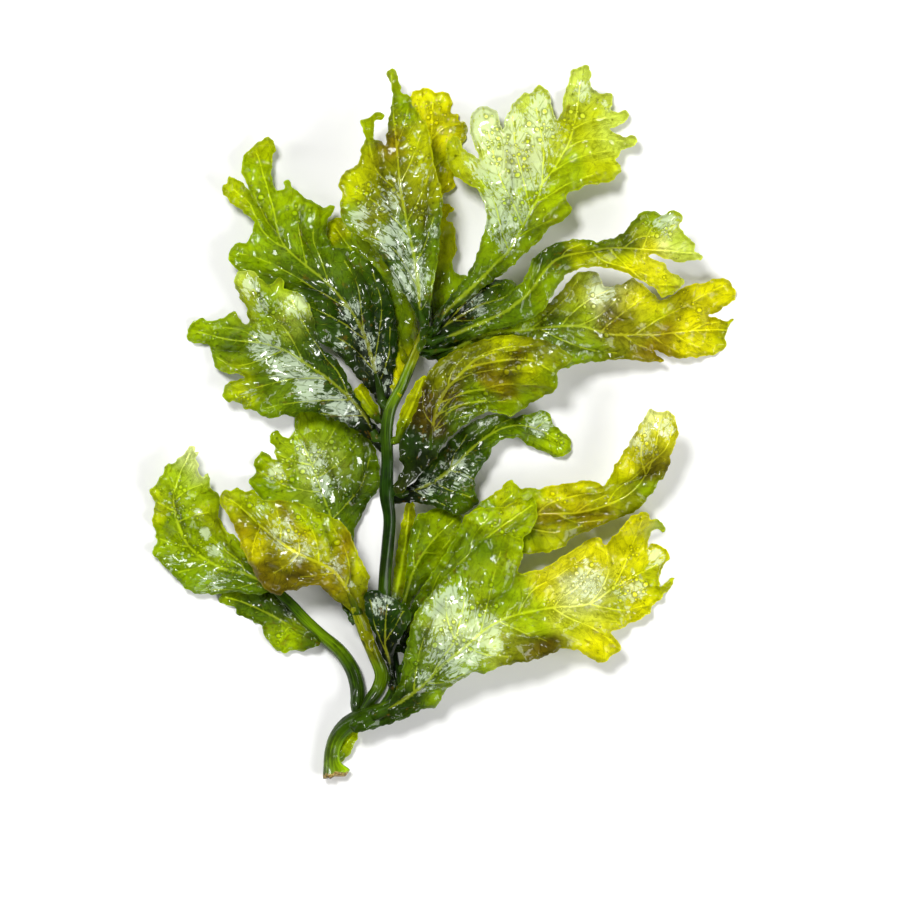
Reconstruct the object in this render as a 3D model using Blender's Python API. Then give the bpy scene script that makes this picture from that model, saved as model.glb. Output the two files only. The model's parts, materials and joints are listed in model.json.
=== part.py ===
"""A sprig of sea lettuce, picked and laid on a flat surface: forked stipes that carry thin, ruffled blades.

The sprig lies in the XY plane as a picture of it shows it from above: +Y points from the cut foot to the highest
tips, +X to the right, and the surface that it lies on is Z = 0. Rims and midribs are drawn on a square sheet of
900 x 900 units whose corner (0, 0) is at the top left, and UNIT turns those units into metres.
"""

import math

import bpy
import numpy as np
from mathutils.geometry import delaunay_2d_cdt

MM = 0.001
SPRIG_LENGTH = 222 * MM
DRAWN_LENGTH = 714
UNIT = SPRIG_LENGTH / DRAWN_LENGTH
ORIGIN = (444.5, 421.5)

BLADE_THICKNESS = 0.8 * MM
BLADE_SPACING = 5.5 * MM

# A blade keeps the first distance between its middle and the middle of what lies under it, and the second
# near its base, within GRIP of the point where it leaves its stem.
CLEARANCE = 1.9 * MM
BASE_CLEARANCE = 1.25 * MM
GRIP = 9 * MM

# The sides of a blade rise by its "cup" at CUP_SPAN from the midrib. The ruffle fades out over RUFFLE_REACH
# from the rim.
CUP_SPAN = 20 * MM
RUFFLE_REACH = 3.6 * MM
RUFFLE_FADE = 6
RIB_BLEND = 4 * MM
RIM_STEPS = 8

STEM_SIDES = 8
SHARP_ANGLE = math.radians(50)

# The pile is a grid of square cells. A high spot lifts the blade over it across SPREAD_CELLS cells round it.
CELL = 1.0 * MM
PILE_MARGIN = 20 * MM
SPREAD_CELLS = 6
SPREAD_PASSES = 3
NEAR_CELLS = 2
SAMPLE_STEPS = 12
EMPTY = -1.0

FRESH_GREEN = (0.16, 0.33, 0.015)
YELLOW_GREEN = (0.42, 0.52, 0.02)
OLIVE = (0.30, 0.27, 0.01)
DEEP_GREEN = (0.03, 0.12, 0.01)
STEM_GREEN = (0.06, 0.16, 0.012)
WET_ROUGHNESS = 0.25

# Each stem is a list of (across, down, height in mm, radius in mm), from the end nearest the foot.
STEMS = {
    "stipe_foot": [
        (334, 776, 3.5, 3.5), (331, 766, 3.1, 3.0), (331, 752, 3.1, 2.8), (336, 737, 3.6, 2.8),
        (346, 724, 4.8, 2.9), (360, 715, 6.4, 2.6), (376, 709, 8.2, 2.2), (390, 702, 9.8, 1.9),
    ],
    "branch_left": [
        (353, 705, 4.2, 1.2), (356, 695, 3.2, 2.2), (357, 684, 3.0, 2.3), (352, 668, 3.8, 2.2),
        (340, 650, 4.8, 2.0), (322, 634, 5.8, 1.8), (306, 619, 6.6, 1.7), (292, 604, 7.0, 1.6),
        (281, 594, 7.2, 1.5),
    ],
    "branch_folded": [
        (370, 700, 6.0, 1.5), (379, 688, 5.6, 2.1), (382, 673, 6.8, 2.1), (375, 654, 9.0, 2.0),
        (366, 634, 11.2, 1.9), (359, 616, 12.8, 1.7),
    ],
    "stipe_main": [
        (392, 695, 7.6, 1.4), (396, 682, 4.4, 1.7), (393, 660, 3.8, 1.9), (388, 635, 5.4, 2.0),
        (384, 605, 8.0, 2.0), (385, 575, 10.2, 1.9), (388, 545, 11.8, 1.9), (390, 518, 12.8, 1.9),
        (387, 492, 13.8, 2.2), (388, 462, 15.0, 1.9), (387, 432, 16.2, 1.9), (391, 408, 17.4, 1.8),
        (402, 386, 18.8, 1.7), (412, 362, 20.2, 1.6), (419, 346, 21.6, 1.5), (424, 334, 23.0, 1.3),
    ],
    "twig_right": [
        (398, 487, 14.4, 1.3), (406, 478, 15.4, 1.5), (417, 470, 16.6, 1.4), (427, 458, 17.6, 1.2),
        (433, 445, 18.2, 1.0),
    ],
}


def blade(finish, rim, rib, cup=0.0, ruffle=1.6, wave=15.0, turn=0.0, folds=()):
    """One blade: its rim, its midrib with heights in mm, how far its sides rise in mm, and its ruffle."""
    return {
        "finish": finish, "rim": rim, "rib": rib, "cup": cup, "ruffle": ruffle,
        "wave": wave, "turn": turn, "folds": folds,
    }


# Blades are listed from the lowest in the pile to the highest. Those from FIRST_OVER_STEMS on lie over the stems.
FIRST_OVER_STEMS = "blade_long_right"
BLADES = {
    "blade_top_back": blade(
        YELLOW_GREEN,
        rim=[
            (429, 330), (434, 320), (444, 306), (455, 297), (464, 286), (467, 278), (458, 275), (453, 270),
            (453, 261), (457, 250), (455, 239), (456, 231), (453, 225), (447, 221), (449, 214),
            (454, 210), (450, 205), (443, 204), (444, 194), (451, 191), (456, 186), (453, 179),
            (460, 170), (466, 158), (462, 147), (466, 137), (468, 130), (465, 123), (459, 120),
            (458, 115), (451, 113), (452, 103), (448, 93), (436, 92), (425, 88), (414, 92),
            (408, 101), (404, 120), (401, 145), (402, 175), (403, 205), (407, 235), (413, 262),
            (420, 290), (424, 312), (424, 329),
        ],
        rib=[(427, 328, 21.6), (430, 305, 15), (430, 280, 10), (428, 230, 5), (430, 170, 2), (432, 105, -0.5)],
        ruffle=1.8, wave=13,
    ),
    "blade_upper_left_back": blade(
        YELLOW_GREEN,
        rim=[
            (406, 356), (403, 366), (390, 362), (376, 342), (360, 316), (345, 288), (334, 262),
            (328, 243), (327, 228), (332, 220), (341, 218), (352, 224), (368, 234), (384, 250),
            (398, 270), (408, 296), (412, 325),
        ],
        rib=[(405, 361, 19.4), (392, 322, 10), (368, 275, 6), (336, 228, 4)],
        cup=1.0, ruffle=1.0,
    ),
    "leaflet_left": blade(
        YELLOW_GREEN,
        rim=[
            (381, 419), (379, 409), (372, 398), (364, 384), (358, 388), (353, 393), (356, 402),
            (364, 413), (373, 420), (378, 424),
        ],
        rib=[(379, 420, 15.8), (369, 405, 12), (360, 391, 9)],
        cup=1.0, ruffle=0.4,
    ),
    "leaflet_right": blade(
        YELLOW_GREEN,
        rim=[
            (396, 446), (395, 437), (398, 420), (404, 405), (411, 392), (418, 381), (424, 376),
            (427, 383), (424, 395), (418, 410), (411, 422), (404, 434),
        ],
        rib=[(397, 442, 16.2), (408, 412, 19), (423, 381, 24)],
        cup=1.0, ruffle=0.4,
    ),
    "blade_under_left": blade(
        FRESH_GREEN,
        rim=[
            (313, 638), (318, 643), (311, 648), (302, 650), (292, 650), (283, 653), (275, 648),
            (268, 640), (263, 632), (261, 625), (250, 620), (243, 616), (236, 614), (236, 607),
            (226, 605), (219, 600), (220, 593), (232, 588), (248, 586), (262, 590), (274, 600),
            (286, 612), (298, 624),
        ],
        rib=[(312, 637, 5.6), (290, 626, 3.4), (262, 610, 0.8), (230, 598, -0.5)],
        cup=-1.0, ruffle=1.4, wave=12,
    ),
    "blade_mid_left": blade(
        FRESH_GREEN,
        rim=[
            (354, 625), (349, 617), (340, 602), (330, 588), (316, 572), (300, 552), (286, 530), (272, 512),
            (262, 499), (254, 490), (249, 480), (255, 475), (256, 469), (253, 464), (258, 456),
            (262, 451), (268, 455), (277, 460), (275, 453), (274, 446), (270, 440), (271, 433),
            (277, 431), (283, 436), (289, 438), (294, 431), (295, 422), (296, 412), (310, 407),
            (328, 408), (344, 416), (356, 425), (366, 434), (374, 446), (378, 458), (380, 472),
            (380, 487), (374, 495), (367, 505), (362, 516), (356, 527), (354, 540), (358, 556),
            (361, 574), (357, 592), (354, 606), (354, 617),
        ],
        rib=[(353, 621, 11.2), (349, 600, 9), (345, 570, 6), (332, 520, 3.5), (312, 465, 1), (290, 440, -0.5)],
        cup=0.6, ruffle=1.8, wave=16, turn=1.0,
    ),
    "blade_outer_left": blade(
        FRESH_GREEN,
        rim=[
            (277, 594), (270, 592), (262, 594), (250, 594), (234, 592), (220, 594), (206, 594), (196, 593),
            (187, 589), (179, 581), (172, 573), (165, 567), (160, 561), (154, 556), (153, 549),
            (157, 541), (155, 531), (153, 521), (154, 512), (156, 503), (153, 497), (151, 489),
            (157, 484), (161, 477), (165, 470), (168, 464), (174, 463), (181, 457), (187, 451),
            (191, 446), (197, 447), (195, 452), (200, 452), (197, 458), (199, 465), (200, 473),
            (204, 477), (209, 472), (210, 480), (212, 488), (217, 492), (221, 500), (219, 513),
            (223, 524), (230, 533), (238, 537), (243, 546), (251, 556), (260, 566), (269, 576),
            (277, 587),
        ],
        rib=[(276, 590, 7.2), (262, 580, 6.2), (245, 572, 5), (215, 562, 4), (185, 545, 2), (172, 510, 4), (185, 462, 9)],
        cup=3.0, ruffle=2.0, wave=14, turn=0.6,
        folds=[((165, 478), (178, 510), (190, 545), 2.4, 3.0)],
    ),
    "blade_upper_left": blade(
        FRESH_GREEN,
        rim=[
            (383, 409), (377, 401), (370, 390), (360, 379), (349, 366), (338, 354), (326, 346), (312, 338),
            (298, 322), (284, 310), (268, 298), (254, 286), (243, 275), (236, 269), (231, 264),
            (229, 255), (233, 248), (240, 243), (247, 244), (252, 234), (255, 224), (250, 218),
            (243, 212), (235, 206), (228, 200), (223, 192), (223, 186), (228, 183), (230, 177),
            (237, 180), (244, 184), (250, 191), (246, 182), (242, 173), (243, 160), (247, 152),
            (252, 149), (258, 143), (268, 138), (274, 141), (276, 149), (273, 160), (272, 173),
            (273, 184), (278, 191), (285, 190), (284, 183), (289, 181), (293, 188), (299, 193),
            (306, 199), (314, 203), (320, 206), (326, 209), (331, 205), (335, 208), (331, 217),
            (327, 225), (328, 238), (336, 248), (351, 250), (365, 258), (379, 272), (390, 294),
            (396, 320), (398, 350), (394, 376), (387, 401),
        ],
        rib=[(384, 405, 17.2), (373, 362, 14.5), (348, 312, 11.5), (312, 270, 9), (280, 235, 8), (262, 160, 5)],
        cup=1.6, ruffle=1.9, wave=17, turn=2.0,
        folds=[((300, 208), (306, 240), (318, 270), 0.9, 2.0), ((244, 184), (262, 212), (285, 246), 1.2, 2.0)],
    ),
    "blade_left": blade(
        FRESH_GREEN,
        rim=[
            (378, 446), (366, 437), (354, 429), (338, 420), (320, 414), (305, 412), (295, 417),
            (287, 415), (279, 417), (271, 419), (264, 416), (257, 412), (251, 409), (246, 409),
            (241, 404), (235, 401), (229, 403), (225, 399), (224, 391), (227, 385), (235, 381),
            (246, 378), (238, 374), (229, 374), (221, 371), (215, 365), (213, 355), (210, 347),
            (204, 343), (196, 344), (190, 341), (187, 334), (190, 327), (195, 321), (202, 318),
            (209, 321), (222, 319), (230, 314), (236, 312), (240, 318), (244, 324), (250, 323),
            (249, 314), (247, 305), (242, 299), (238, 290), (235, 281), (238, 274), (246, 271),
            (254, 272), (262, 280), (270, 286), (280, 279), (286, 282), (285, 290), (293, 291),
            (301, 296), (309, 305), (314, 317), (318, 334), (323, 350), (331, 354), (339, 362),
            (346, 373), (351, 386), (360, 402), (370, 418), (379, 436),
        ],
        rib=[(378, 441, 16.0), (352, 412, 14.5), (320, 385, 13), (280, 360, 11), (235, 340, 6), (196, 332, 0.8)],
        cup=-0.6, ruffle=2.2, wave=16,
        folds=[((250, 276), (258, 292), (266, 310), 1.6, 1.6), ((286, 282), (281, 300), (284, 318), 1.5, 1.6)],
    ),
    "blade_inner_slim": blade(
        YELLOW_GREEN,
        rim=[
            (397, 611), (391, 608), (391, 592), (394, 574), (396, 556), (400, 532), (405, 508),
            (409, 498), (415, 507), (414, 524), (409, 545), (407, 570), (404, 592),
        ],
        rib=[(394, 607, 6.8), (402, 565, 4.6), (409, 510, 3.6)],
        cup=1.0, ruffle=0.6,
    ),
    "blade_inner_broad": blade(
        FRESH_GREEN,
        rim=[
            (399, 629), (395, 627), (398, 615), (402, 600), (405, 584), (407, 566), (408, 549), (411, 531), (417, 516),
            (426, 512), (436, 508), (446, 507), (456, 511), (462, 518), (461, 528), (457, 537),
            (451, 548), (444, 560), (436, 571), (427, 581), (418, 592), (411, 603), (404, 618),
        ],
        rib=[(397, 627, 5.8), (406, 604, 7.6), (414, 568, 8), (432, 538, 7), (452, 520, 4)],
        cup=1.0, ruffle=1.2, wave=12,
    ),
    "blade_dark_right": blade(
        DEEP_GREEN,
        rim=[
            (400, 500), (397, 494), (403, 488), (414, 482), (424, 470), (436, 456), (450, 440),
            (466, 426), (482, 418), (498, 414), (512, 418), (523, 415), (533, 413), (543, 410),
            (550, 416), (553, 424), (560, 430), (567, 435), (571, 443), (570, 450), (563, 456),
            (555, 457), (545, 452), (534, 448), (526, 444), (520, 439), (510, 438), (500, 441),
            (493, 447), (489, 457), (482, 466), (475, 478), (475, 490), (478, 503), (470, 509),
            (460, 515), (449, 512), (437, 507), (425, 504), (412, 501),
        ],
        rib=[(399, 495, 13.2), (432, 482, 10.4), (468, 455, 9), (510, 428, 7), (560, 446, 0.6)],
        cup=1.8, ruffle=1.8, wave=13, turn=0.5,
        folds=[((520, 438), (540, 430), (560, 428), 1.6, 1.6)],
    ),
    "blade_long_right": blade(
        YELLOW_GREEN,
        rim=[
            (403, 672), (400, 666), (404, 656), (405, 645), (407, 630), (414, 612), (424, 596), (436, 578),
            (448, 558), (458, 538), (465, 521), (475, 508), (486, 498), (497, 491), (506, 482),
            (513, 480), (519, 488), (528, 487), (537, 489), (547, 486), (561, 484), (575, 482),
            (586, 480), (595, 482), (603, 485), (609, 477), (614, 465), (622, 453), (628, 443),
            (635, 431), (642, 419), (649, 409), (656, 412), (662, 412), (667, 411), (673, 418),
            (676, 429), (676, 437), (672, 447), (669, 457), (667, 468), (662, 477), (657, 483),
            (652, 492), (645, 500), (639, 508), (628, 514), (614, 519), (600, 525), (586, 531),
            (571, 537), (566, 544), (556, 549), (544, 552), (530, 553), (516, 556), (500, 564),
            (482, 578), (464, 594), (448, 612), (434, 632), (422, 652), (414, 666), (409, 672),
        ],
        rib=[(403, 669, 4.2), (409, 655, 6.8), (428, 616, 9), (456, 568, 11), (490, 528, 13), (550, 512, 13), (620, 500, 12), (648, 470, 15), (660, 420, 22)],
        cup=0.8, ruffle=1.8, wave=14, turn=0.2,
        folds=[((603, 487), (632, 480), (667, 464), -2.4, 1.8), ((535, 526), (580, 516), (630, 508), 1.2, 2.0)],
    ),
    "blade_lower_middle": blade(
        YELLOW_GREEN,
        rim=[
            (401, 652), (400, 645), (403, 630), (409, 610), (419, 592), (430, 575), (441, 559), (451, 543),
            (459, 527), (466, 515), (478, 508), (494, 507), (508, 505), (517, 498), (525, 495),
            (532, 497), (536, 505), (536, 518), (531, 529), (522, 540), (522, 552), (516, 562),
            (500, 570), (482, 580), (464, 594), (446, 610), (429, 628), (414, 644), (406, 652),
        ],
        rib=[(402, 649, 4.8), (410, 630, 8.5), (436, 590, 12), (470, 548, 14), (508, 520, 12), (534, 504, 9)],
        cup=0.6, ruffle=1.8, wave=15, turn=1.5,
    ),
    "blade_lower_right": blade(
        YELLOW_GREEN,
        rim=[
            (396, 708), (392, 702), (394, 694), (400, 682), (403, 668), (405, 654), (408, 640),
            (411, 626), (416, 612), (426, 599), (438, 584), (452, 570), (466, 557), (474, 547),
            (484, 538), (500, 533), (512, 536), (522, 540), (522, 552), (520, 563), (517, 572),
            (530, 570), (541, 568), (551, 563), (561, 556), (572, 550), (582, 543), (591, 538),
            (598, 537), (605, 544), (612, 535), (620, 527), (626, 518), (633, 514), (640, 511),
            (646, 512), (649, 517), (655, 518), (661, 522), (665, 527), (662, 531), (656, 528),
            (650, 531), (648, 540), (647, 549), (652, 543), (660, 546), (667, 550), (669, 559),
            (663, 566), (660, 575), (659, 587), (664, 584), (669, 580), (675, 578), (672, 585),
            (667, 592), (660, 599), (652, 607), (648, 614), (638, 620), (628, 624), (619, 629),
            (609, 632), (615, 638), (620, 646), (618, 652), (611, 654), (605, 661), (598, 661),
            (590, 658), (580, 651), (570, 648), (560, 648), (549, 653), (538, 657), (528, 660),
            (518, 661), (509, 663), (499, 665), (491, 669), (483, 672), (474, 670), (466, 675),
            (457, 680), (449, 686), (443, 693), (440, 701), (434, 706), (426, 707), (414, 712),
            (404, 717), (397, 714),
        ],
        rib=[(398, 708, 10.5), (420, 690, 13.5), (450, 660, 18), (488, 626, 20), (540, 608, 17), (590, 600, 11), (640, 570, -3)],
        cup=-1.2, ruffle=2.6, wave=19, turn=0.3,
        folds=[((424, 598), (452, 572), (465, 552), 1.8, 2.0), ((500, 634), (530, 630), (560, 640), -1.6, 2.4)],
    ),
    "blade_right": blade(
        OLIVE,
        rim=[
            (424, 358), (423, 351), (438, 343), (456, 336), (476, 329), (500, 328), (518, 323),
            (534, 313), (550, 302), (561, 291), (568, 282), (576, 274), (588, 272), (598, 275),
            (602, 286), (612, 287), (624, 283), (632, 279), (641, 285), (650, 292), (658, 300),
            (668, 298), (676, 292), (684, 287), (692, 284), (703, 283), (713, 279), (721, 278),
            (729, 281), (734, 289), (735, 299), (727, 304), (719, 311), (708, 315), (716, 318),
            (726, 321), (734, 319), (729, 326), (725, 336), (726, 345), (721, 351), (712, 355),
            (699, 357), (686, 358), (673, 358), (663, 354), (652, 350), (656, 355), (663, 361),
            (652, 362), (641, 362), (630, 360), (614, 360), (598, 362), (584, 363), (572, 366),
            (558, 370), (545, 368), (526, 362), (504, 358), (480, 358), (456, 362), (440, 362),
        ],
        rib=[
            (425, 354, 20.4), (460, 346, 20.5), (510, 334, 19), (560, 327, 16), (620, 334, 11),
            (680, 332, 6), (725, 330, -3),
        ],
        cup=0.6, ruffle=2.0, wave=14, turn=0.4,
        folds=[((604, 303), (618, 318), (634, 324), 1.0, 1.6), ((540, 350), (580, 346), (640, 350), 1.3, 1.8)],
    ),
    "blade_right_lower": blade(
        OLIVE,
        rim=[
            (427, 468), (415, 464), (404, 470), (400, 458), (400, 442), (406, 430), (413, 418),
            (420, 400), (426, 378), (436, 364), (450, 354), (468, 346), (486, 340), (506, 336),
            (526, 338), (546, 342), (562, 350), (572, 360), (560, 369), (556, 375), (557, 385),
            (553, 391), (544, 395), (533, 401), (522, 409), (511, 416), (500, 414), (488, 412),
            (478, 416), (466, 424), (452, 435), (442, 446), (436, 458),
        ],
        rib=[(430, 450, 20.4), (452, 412, 18.8), (484, 385, 15), (525, 365, 11), (556, 380, 7)],
        cup=0.8, ruffle=1.6, wave=13, turn=1.4,
        folds=[((452, 398), (474, 396), (488, 404), 1.4, 1.6), ((470, 392), (500, 396), (530, 392), 1.2, 2.0)],
    ),
    "blade_right_small": blade(
        DEEP_GREEN,
        rim=[
            (428, 341), (430, 336), (446, 322), (458, 310), (470, 300), (482, 290), (492, 284),
            (502, 281), (511, 281), (514, 288), (508, 296), (498, 304), (484, 311), (468, 318),
            (452, 328), (442, 338),
        ],
        rib=[(431, 338, 21.4), (468, 308, 20.5), (506, 287, 18)],
        cup=1.0, ruffle=0.8,
    ),
    "blade_right_upper": blade(
        YELLOW_GREEN,
        rim=[
            (427, 347), (427, 342), (436, 337), (450, 333), (468, 324), (486, 316), (502, 306),
            (514, 294), (521, 286), (527, 277), (530, 268), (535, 261), (543, 256), (551, 249),
            (561, 245), (572, 243), (584, 243), (596, 245), (608, 243), (619, 239), (626, 231),
            (633, 221), (641, 214), (651, 213), (661, 217), (668, 213), (676, 213), (681, 220),
            (678, 227), (681, 234), (688, 240), (693, 247), (694, 253), (701, 258), (698, 262),
            (690, 261), (681, 264), (671, 262), (662, 260), (653, 256), (646, 258), (655, 262),
            (664, 266), (668, 274), (678, 277), (682, 283), (678, 290), (670, 295), (661, 299),
            (654, 291), (645, 285), (634, 280), (622, 273), (606, 271), (590, 270), (576, 270),
            (563, 276), (552, 286), (542, 298), (536, 308), (526, 315), (511, 321), (490, 327),
            (468, 334), (450, 341),
        ],
        rib=[(429, 344, 22.2), (470, 329, 25), (505, 312, 28), (535, 280, 31), (580, 256, 30), (630, 252, 25), (690, 256, 17)],
        cup=-1.2, ruffle=2.4, wave=13, turn=1.2,
        folds=[((541, 258), (534, 280), (528, 308), 2.4, 1.6), ((548, 252), (590, 250), (624, 240), 1.6, 1.8)],
    ),
    "blade_top_right": blade(
        YELLOW_GREEN,
        rim=[
            (431, 338), (432, 331), (437, 316), (446, 303), (456, 291), (465, 279), (473, 266),
            (478, 252), (482, 238), (486, 224), (485, 210), (481, 199), (478, 192), (469, 187),
            (459, 181), (452, 174), (447, 164), (446, 156), (447, 146), (451, 139), (458, 139),
            (462, 145), (463, 151), (471, 155), (479, 161), (475, 149), (471, 138), (470, 126),
            (472, 116), (477, 110), (485, 108), (493, 111), (498, 117), (500, 127), (502, 132),
            (505, 121), (510, 110), (516, 101), (523, 95), (531, 93), (538, 86), (545, 89),
            (550, 98), (551, 107), (554, 116), (557, 121), (562, 111), (563, 98), (567, 88),
            (570, 76), (573, 69), (581, 67), (587, 65), (591, 71), (590, 80), (594, 91),
            (603, 94), (611, 94), (613, 102), (610, 110), (618, 113), (626, 111), (629, 116),
            (625, 122), (618, 127), (609, 130), (615, 134), (624, 138), (632, 136), (637, 143),
            (633, 147), (624, 150), (618, 156), (615, 161), (620, 167), (618, 175), (611, 182),
            (601, 185), (590, 186), (583, 188), (576, 192), (568, 194), (565, 200), (569, 206),
            (571, 212), (566, 219), (557, 225), (548, 229), (543, 237), (537, 244), (529, 251),
            (520, 259), (510, 269), (499, 278), (486, 287), (470, 299), (454, 312), (441, 324),
        ],
        rib=[(433, 333, 23.2), (455, 304, 24), (480, 282, 22.5), (512, 245, 19), (538, 196, 15), (566, 148, 9), (582, 80, -1)],
        cup=-1.6, ruffle=2.2, wave=18, turn=0.9,
        folds=[((480, 120), (488, 170), (489, 230), 1.2, 2.6), ((560, 132), (595, 138), (632, 142), 1.2, 1.4)],
    ),
    "blade_folded_left": blade(
        OLIVE,
        rim=[
            (355, 614), (346, 605), (335, 598), (327, 591), (321, 585), (310, 584), (300, 588),
            (289, 589), (280, 594), (270, 590), (262, 582), (257, 574), (250, 560), (243, 546),
            (240, 536), (236, 528), (230, 516), (223, 506), (221, 498), (225, 491), (232, 490),
            (239, 488), (246, 491), (253, 490), (259, 494), (265, 500), (276, 500), (290, 501),
            (304, 504), (316, 510), (327, 514), (338, 519), (347, 527), (352, 537), (357, 549),
            (363, 562), (369, 574), (368, 588), (365, 600), (361, 613),
        ],
        rib=[(358, 612, 12.8), (346, 584, 17), (320, 560, 20), (285, 540, 20), (250, 515, 15), (228, 498, 11)],
        cup=-0.8, ruffle=2.0, wave=15, turn=2.2,
        folds=[((262, 560), (292, 573), (322, 583), 3.0, 1.4), ((322, 514), (328, 534), (334, 552), 1.4, 1.6)],
    ),
    "sheath": blade(
        DEEP_GREEN,
        rim=[
            (392, 689), (390, 682), (390, 673), (386, 660), (379, 646), (375, 632), (368, 617),
            (365, 602), (367, 591), (376, 589), (386, 594), (396, 599), (405, 604), (412, 613),
            (409, 624), (402, 634), (396, 646), (393, 660), (394, 674), (394, 684),
        ],
        rib=[(392, 685, 6.8), (386, 650, 12), (388, 606, 14)],
        cup=3.0, ruffle=0.6, wave=12,
    ),
    "blade_top_centre": blade(
        OLIVE,
        rim=[
            (428, 330), (421, 329), (416, 316), (409, 302), (399, 286), (388, 268), (376, 252),
            (363, 241), (352, 234), (345, 226), (341, 215), (341, 205), (343, 197), (340, 190),
            (340, 183), (344, 177), (351, 171), (358, 168), (361, 158), (363, 148), (366, 140),
            (362, 130), (361, 123), (367, 121), (373, 117), (379, 114), (385, 117), (383, 121),
            (376, 123), (374, 131), (375, 141), (383, 145), (386, 148), (387, 137), (389, 121),
            (392, 106), (393, 93), (390, 83), (387, 75), (392, 70), (397, 75), (400, 86),
            (402, 95), (409, 98), (413, 107), (419, 116), (426, 126), (430, 136), (432, 150),
            (434, 165), (438, 180), (442, 194), (443, 208), (441, 224), (440, 242), (438, 262),
            (434, 284), (431, 304), (430, 320),
        ],
        rib=[(425, 328, 23.8), (420, 300, 26), (408, 255, 25), (398, 200, 22), (396, 140, 17), (394, 80, 12)],
        cup=3.2, ruffle=1.6, wave=16, turn=0.8,
        folds=[((392, 98), (388, 130), (388, 165), 1.6, 1.4), ((366, 240), (392, 252), (412, 290), 1.2, 2.0)],
    ),
    "leaflet_foot": blade(
        YELLOW_GREEN,
        rim=[
            (345, 756), (342, 750), (346, 743), (352, 738), (358, 734), (359, 742), (356, 750),
            (351, 757),
        ],
        rib=[(344, 752, 3.4), (351, 746, 2.2), (357, 738, 1.2)],
        cup=0.6, ruffle=0.2,
    ),
}


def clear_scene():
    for obj in list(bpy.data.objects):
        bpy.data.objects.remove(obj)


def placed(points):
    """Drawn (across, down) units as metres in the part's own frame."""
    points = np.asarray(points, float)
    return (points[:, :2] - ORIGIN) * (UNIT, -UNIT)


def smooth_line(points, count):
    """Points read from a Catmull-Rom curve through the given ones."""
    points = np.asarray(points, float)
    padded = np.vstack([2 * points[0] - points[1], points, 2 * points[-1] - points[-2]])
    read = []
    for t in np.linspace(0, len(points) - 1, count):
        i = min(int(t), len(points) - 2)
        a, b, c, d = padded[i : i + 4]
        s = t - i
        read.append(
            0.5 * (2 * b + (c - a) * s + (2 * a - 5 * b + 4 * c - d) * s**2 + (3 * b - 3 * c + d - a) * s**3)
        )
    return np.array(read)


def smoothstep(x):
    x = np.clip(x, 0, 1)
    return x * x * (3 - 2 * x)


def distances(points, others):
    return np.linalg.norm(points[:, None, :] - others[None, :, :], axis=2)


def inside(points, rim):
    """True for the points that lie within the closed rim."""
    x, y = points[:, 0], points[:, 1]
    found = np.zeros(len(points), bool)
    for (x0, y0), (x1, y1) in zip(rim, np.roll(rim, -1, axis=0)):
        crosses = (y0 > y) != (y1 > y)
        run = (x1 - x0) * (y - y0) / (y1 - y0 if y1 != y0 else 1) + x0
        found ^= crosses & (x < run)
    return found


def inner_points(rim, spacing):
    """A triangular lattice of points within the rim, clear of it."""
    low, high = rim.min(axis=0), rim.max(axis=0)
    rows = np.arange(low[1], high[1], spacing * math.sin(math.pi / 3))
    lattice = np.array([
        (x + (i % 2) * spacing / 2, y)
        for i, y in enumerate(rows)
        for x in np.arange(low[0], high[0], spacing)
    ])
    lattice = lattice[inside(lattice, rim)]
    edge = np.vstack([rim, (rim + np.roll(rim, -1, axis=0)) / 2])
    return lattice[distances(lattice, edge).min(axis=1) > 0.5 * spacing]


def triangulated(rim, inner):
    """The flat blade as triangles: (points, faces)."""
    points = [tuple(p) for p in np.vstack([rim, inner])]
    made = delaunay_2d_cdt(points, [], [list(range(len(rim)))], 1, 1e-7)
    return np.array([(p.x, p.y) for p in made[0]]), np.array(made[2])


def fold_heights(points, folds):
    """Sharp crests (or, below zero, valleys) along curves: each is three points, a height and a width in mm."""
    raised = np.zeros(len(points))
    for *course, height, width in folds:
        line = smooth_line(placed(course), 40)
        away = distances(points, line).min(axis=1)
        raised += height * MM * np.exp(-away / (width * MM))
    return raised


def design_heights(points, rim, spec):
    """Mid-surface heights of a blade before it settles on what lies under it."""
    rib = np.array(spec["rib"], float)
    line = smooth_line(np.column_stack([placed(rib), rib[:, 2] * MM]), 60)
    away = distances(points, line[:, :2])
    weight = 1 / (away**2 + RIB_BLEND**2) ** 2
    base = (weight @ line[:, 2]) / weight.sum(axis=1)
    cup = spec["cup"] * MM * (away.min(axis=1) / CUP_SPAN) ** 2
    edge = smooth_line(np.vstack([rim, rim[:1]]), RIM_STEPS * len(rim))
    travel = np.concatenate([[0], np.cumsum(np.linalg.norm(np.diff(edge, axis=0), axis=1))])
    wave = np.sin(2 * math.pi * travel / (spec["wave"] * MM) + spec["turn"])
    near = np.exp(-((distances(points, edge) / RUFFLE_REACH) ** 2) / 2)
    ruffle = spec["ruffle"] * MM * (near @ wave) / (near.sum(axis=1) + RUFFLE_FADE)
    held = smoothstep(np.linalg.norm(points - line[0, :2], axis=1) / GRIP)
    return base + (cup + ruffle + fold_heights(points, spec["folds"])) * held


def samples(points, heights, faces):
    """Points spread over every triangle, close enough together to fill the pile's cells."""
    corners = np.column_stack([points, heights])[faces]
    shares = [
        (i / SAMPLE_STEPS, j / SAMPLE_STEPS)
        for i in range(SAMPLE_STEPS + 1)
        for j in range(SAMPLE_STEPS + 1 - i)
    ]
    return np.vstack([
        corners[:, 0] * (1 - s - t) + corners[:, 1] * s + corners[:, 2] * t
        for s, t in shares
    ])


class Pile:
    """The top of everything laid down so far, as heights on a grid of square cells."""

    def __init__(self, low, high):
        self.low = np.asarray(low) - PILE_MARGIN
        size = np.asarray(high) + PILE_MARGIN - self.low
        self.top = np.full(np.ceil(size / CELL).astype(int), EMPTY)

    def cells(self, points):
        return tuple(((points[:, :2] - self.low) / CELL).astype(int).T)

    def add(self, spread):
        np.maximum.at(self.top, self.cells(spread), spread[:, 2])


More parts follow.
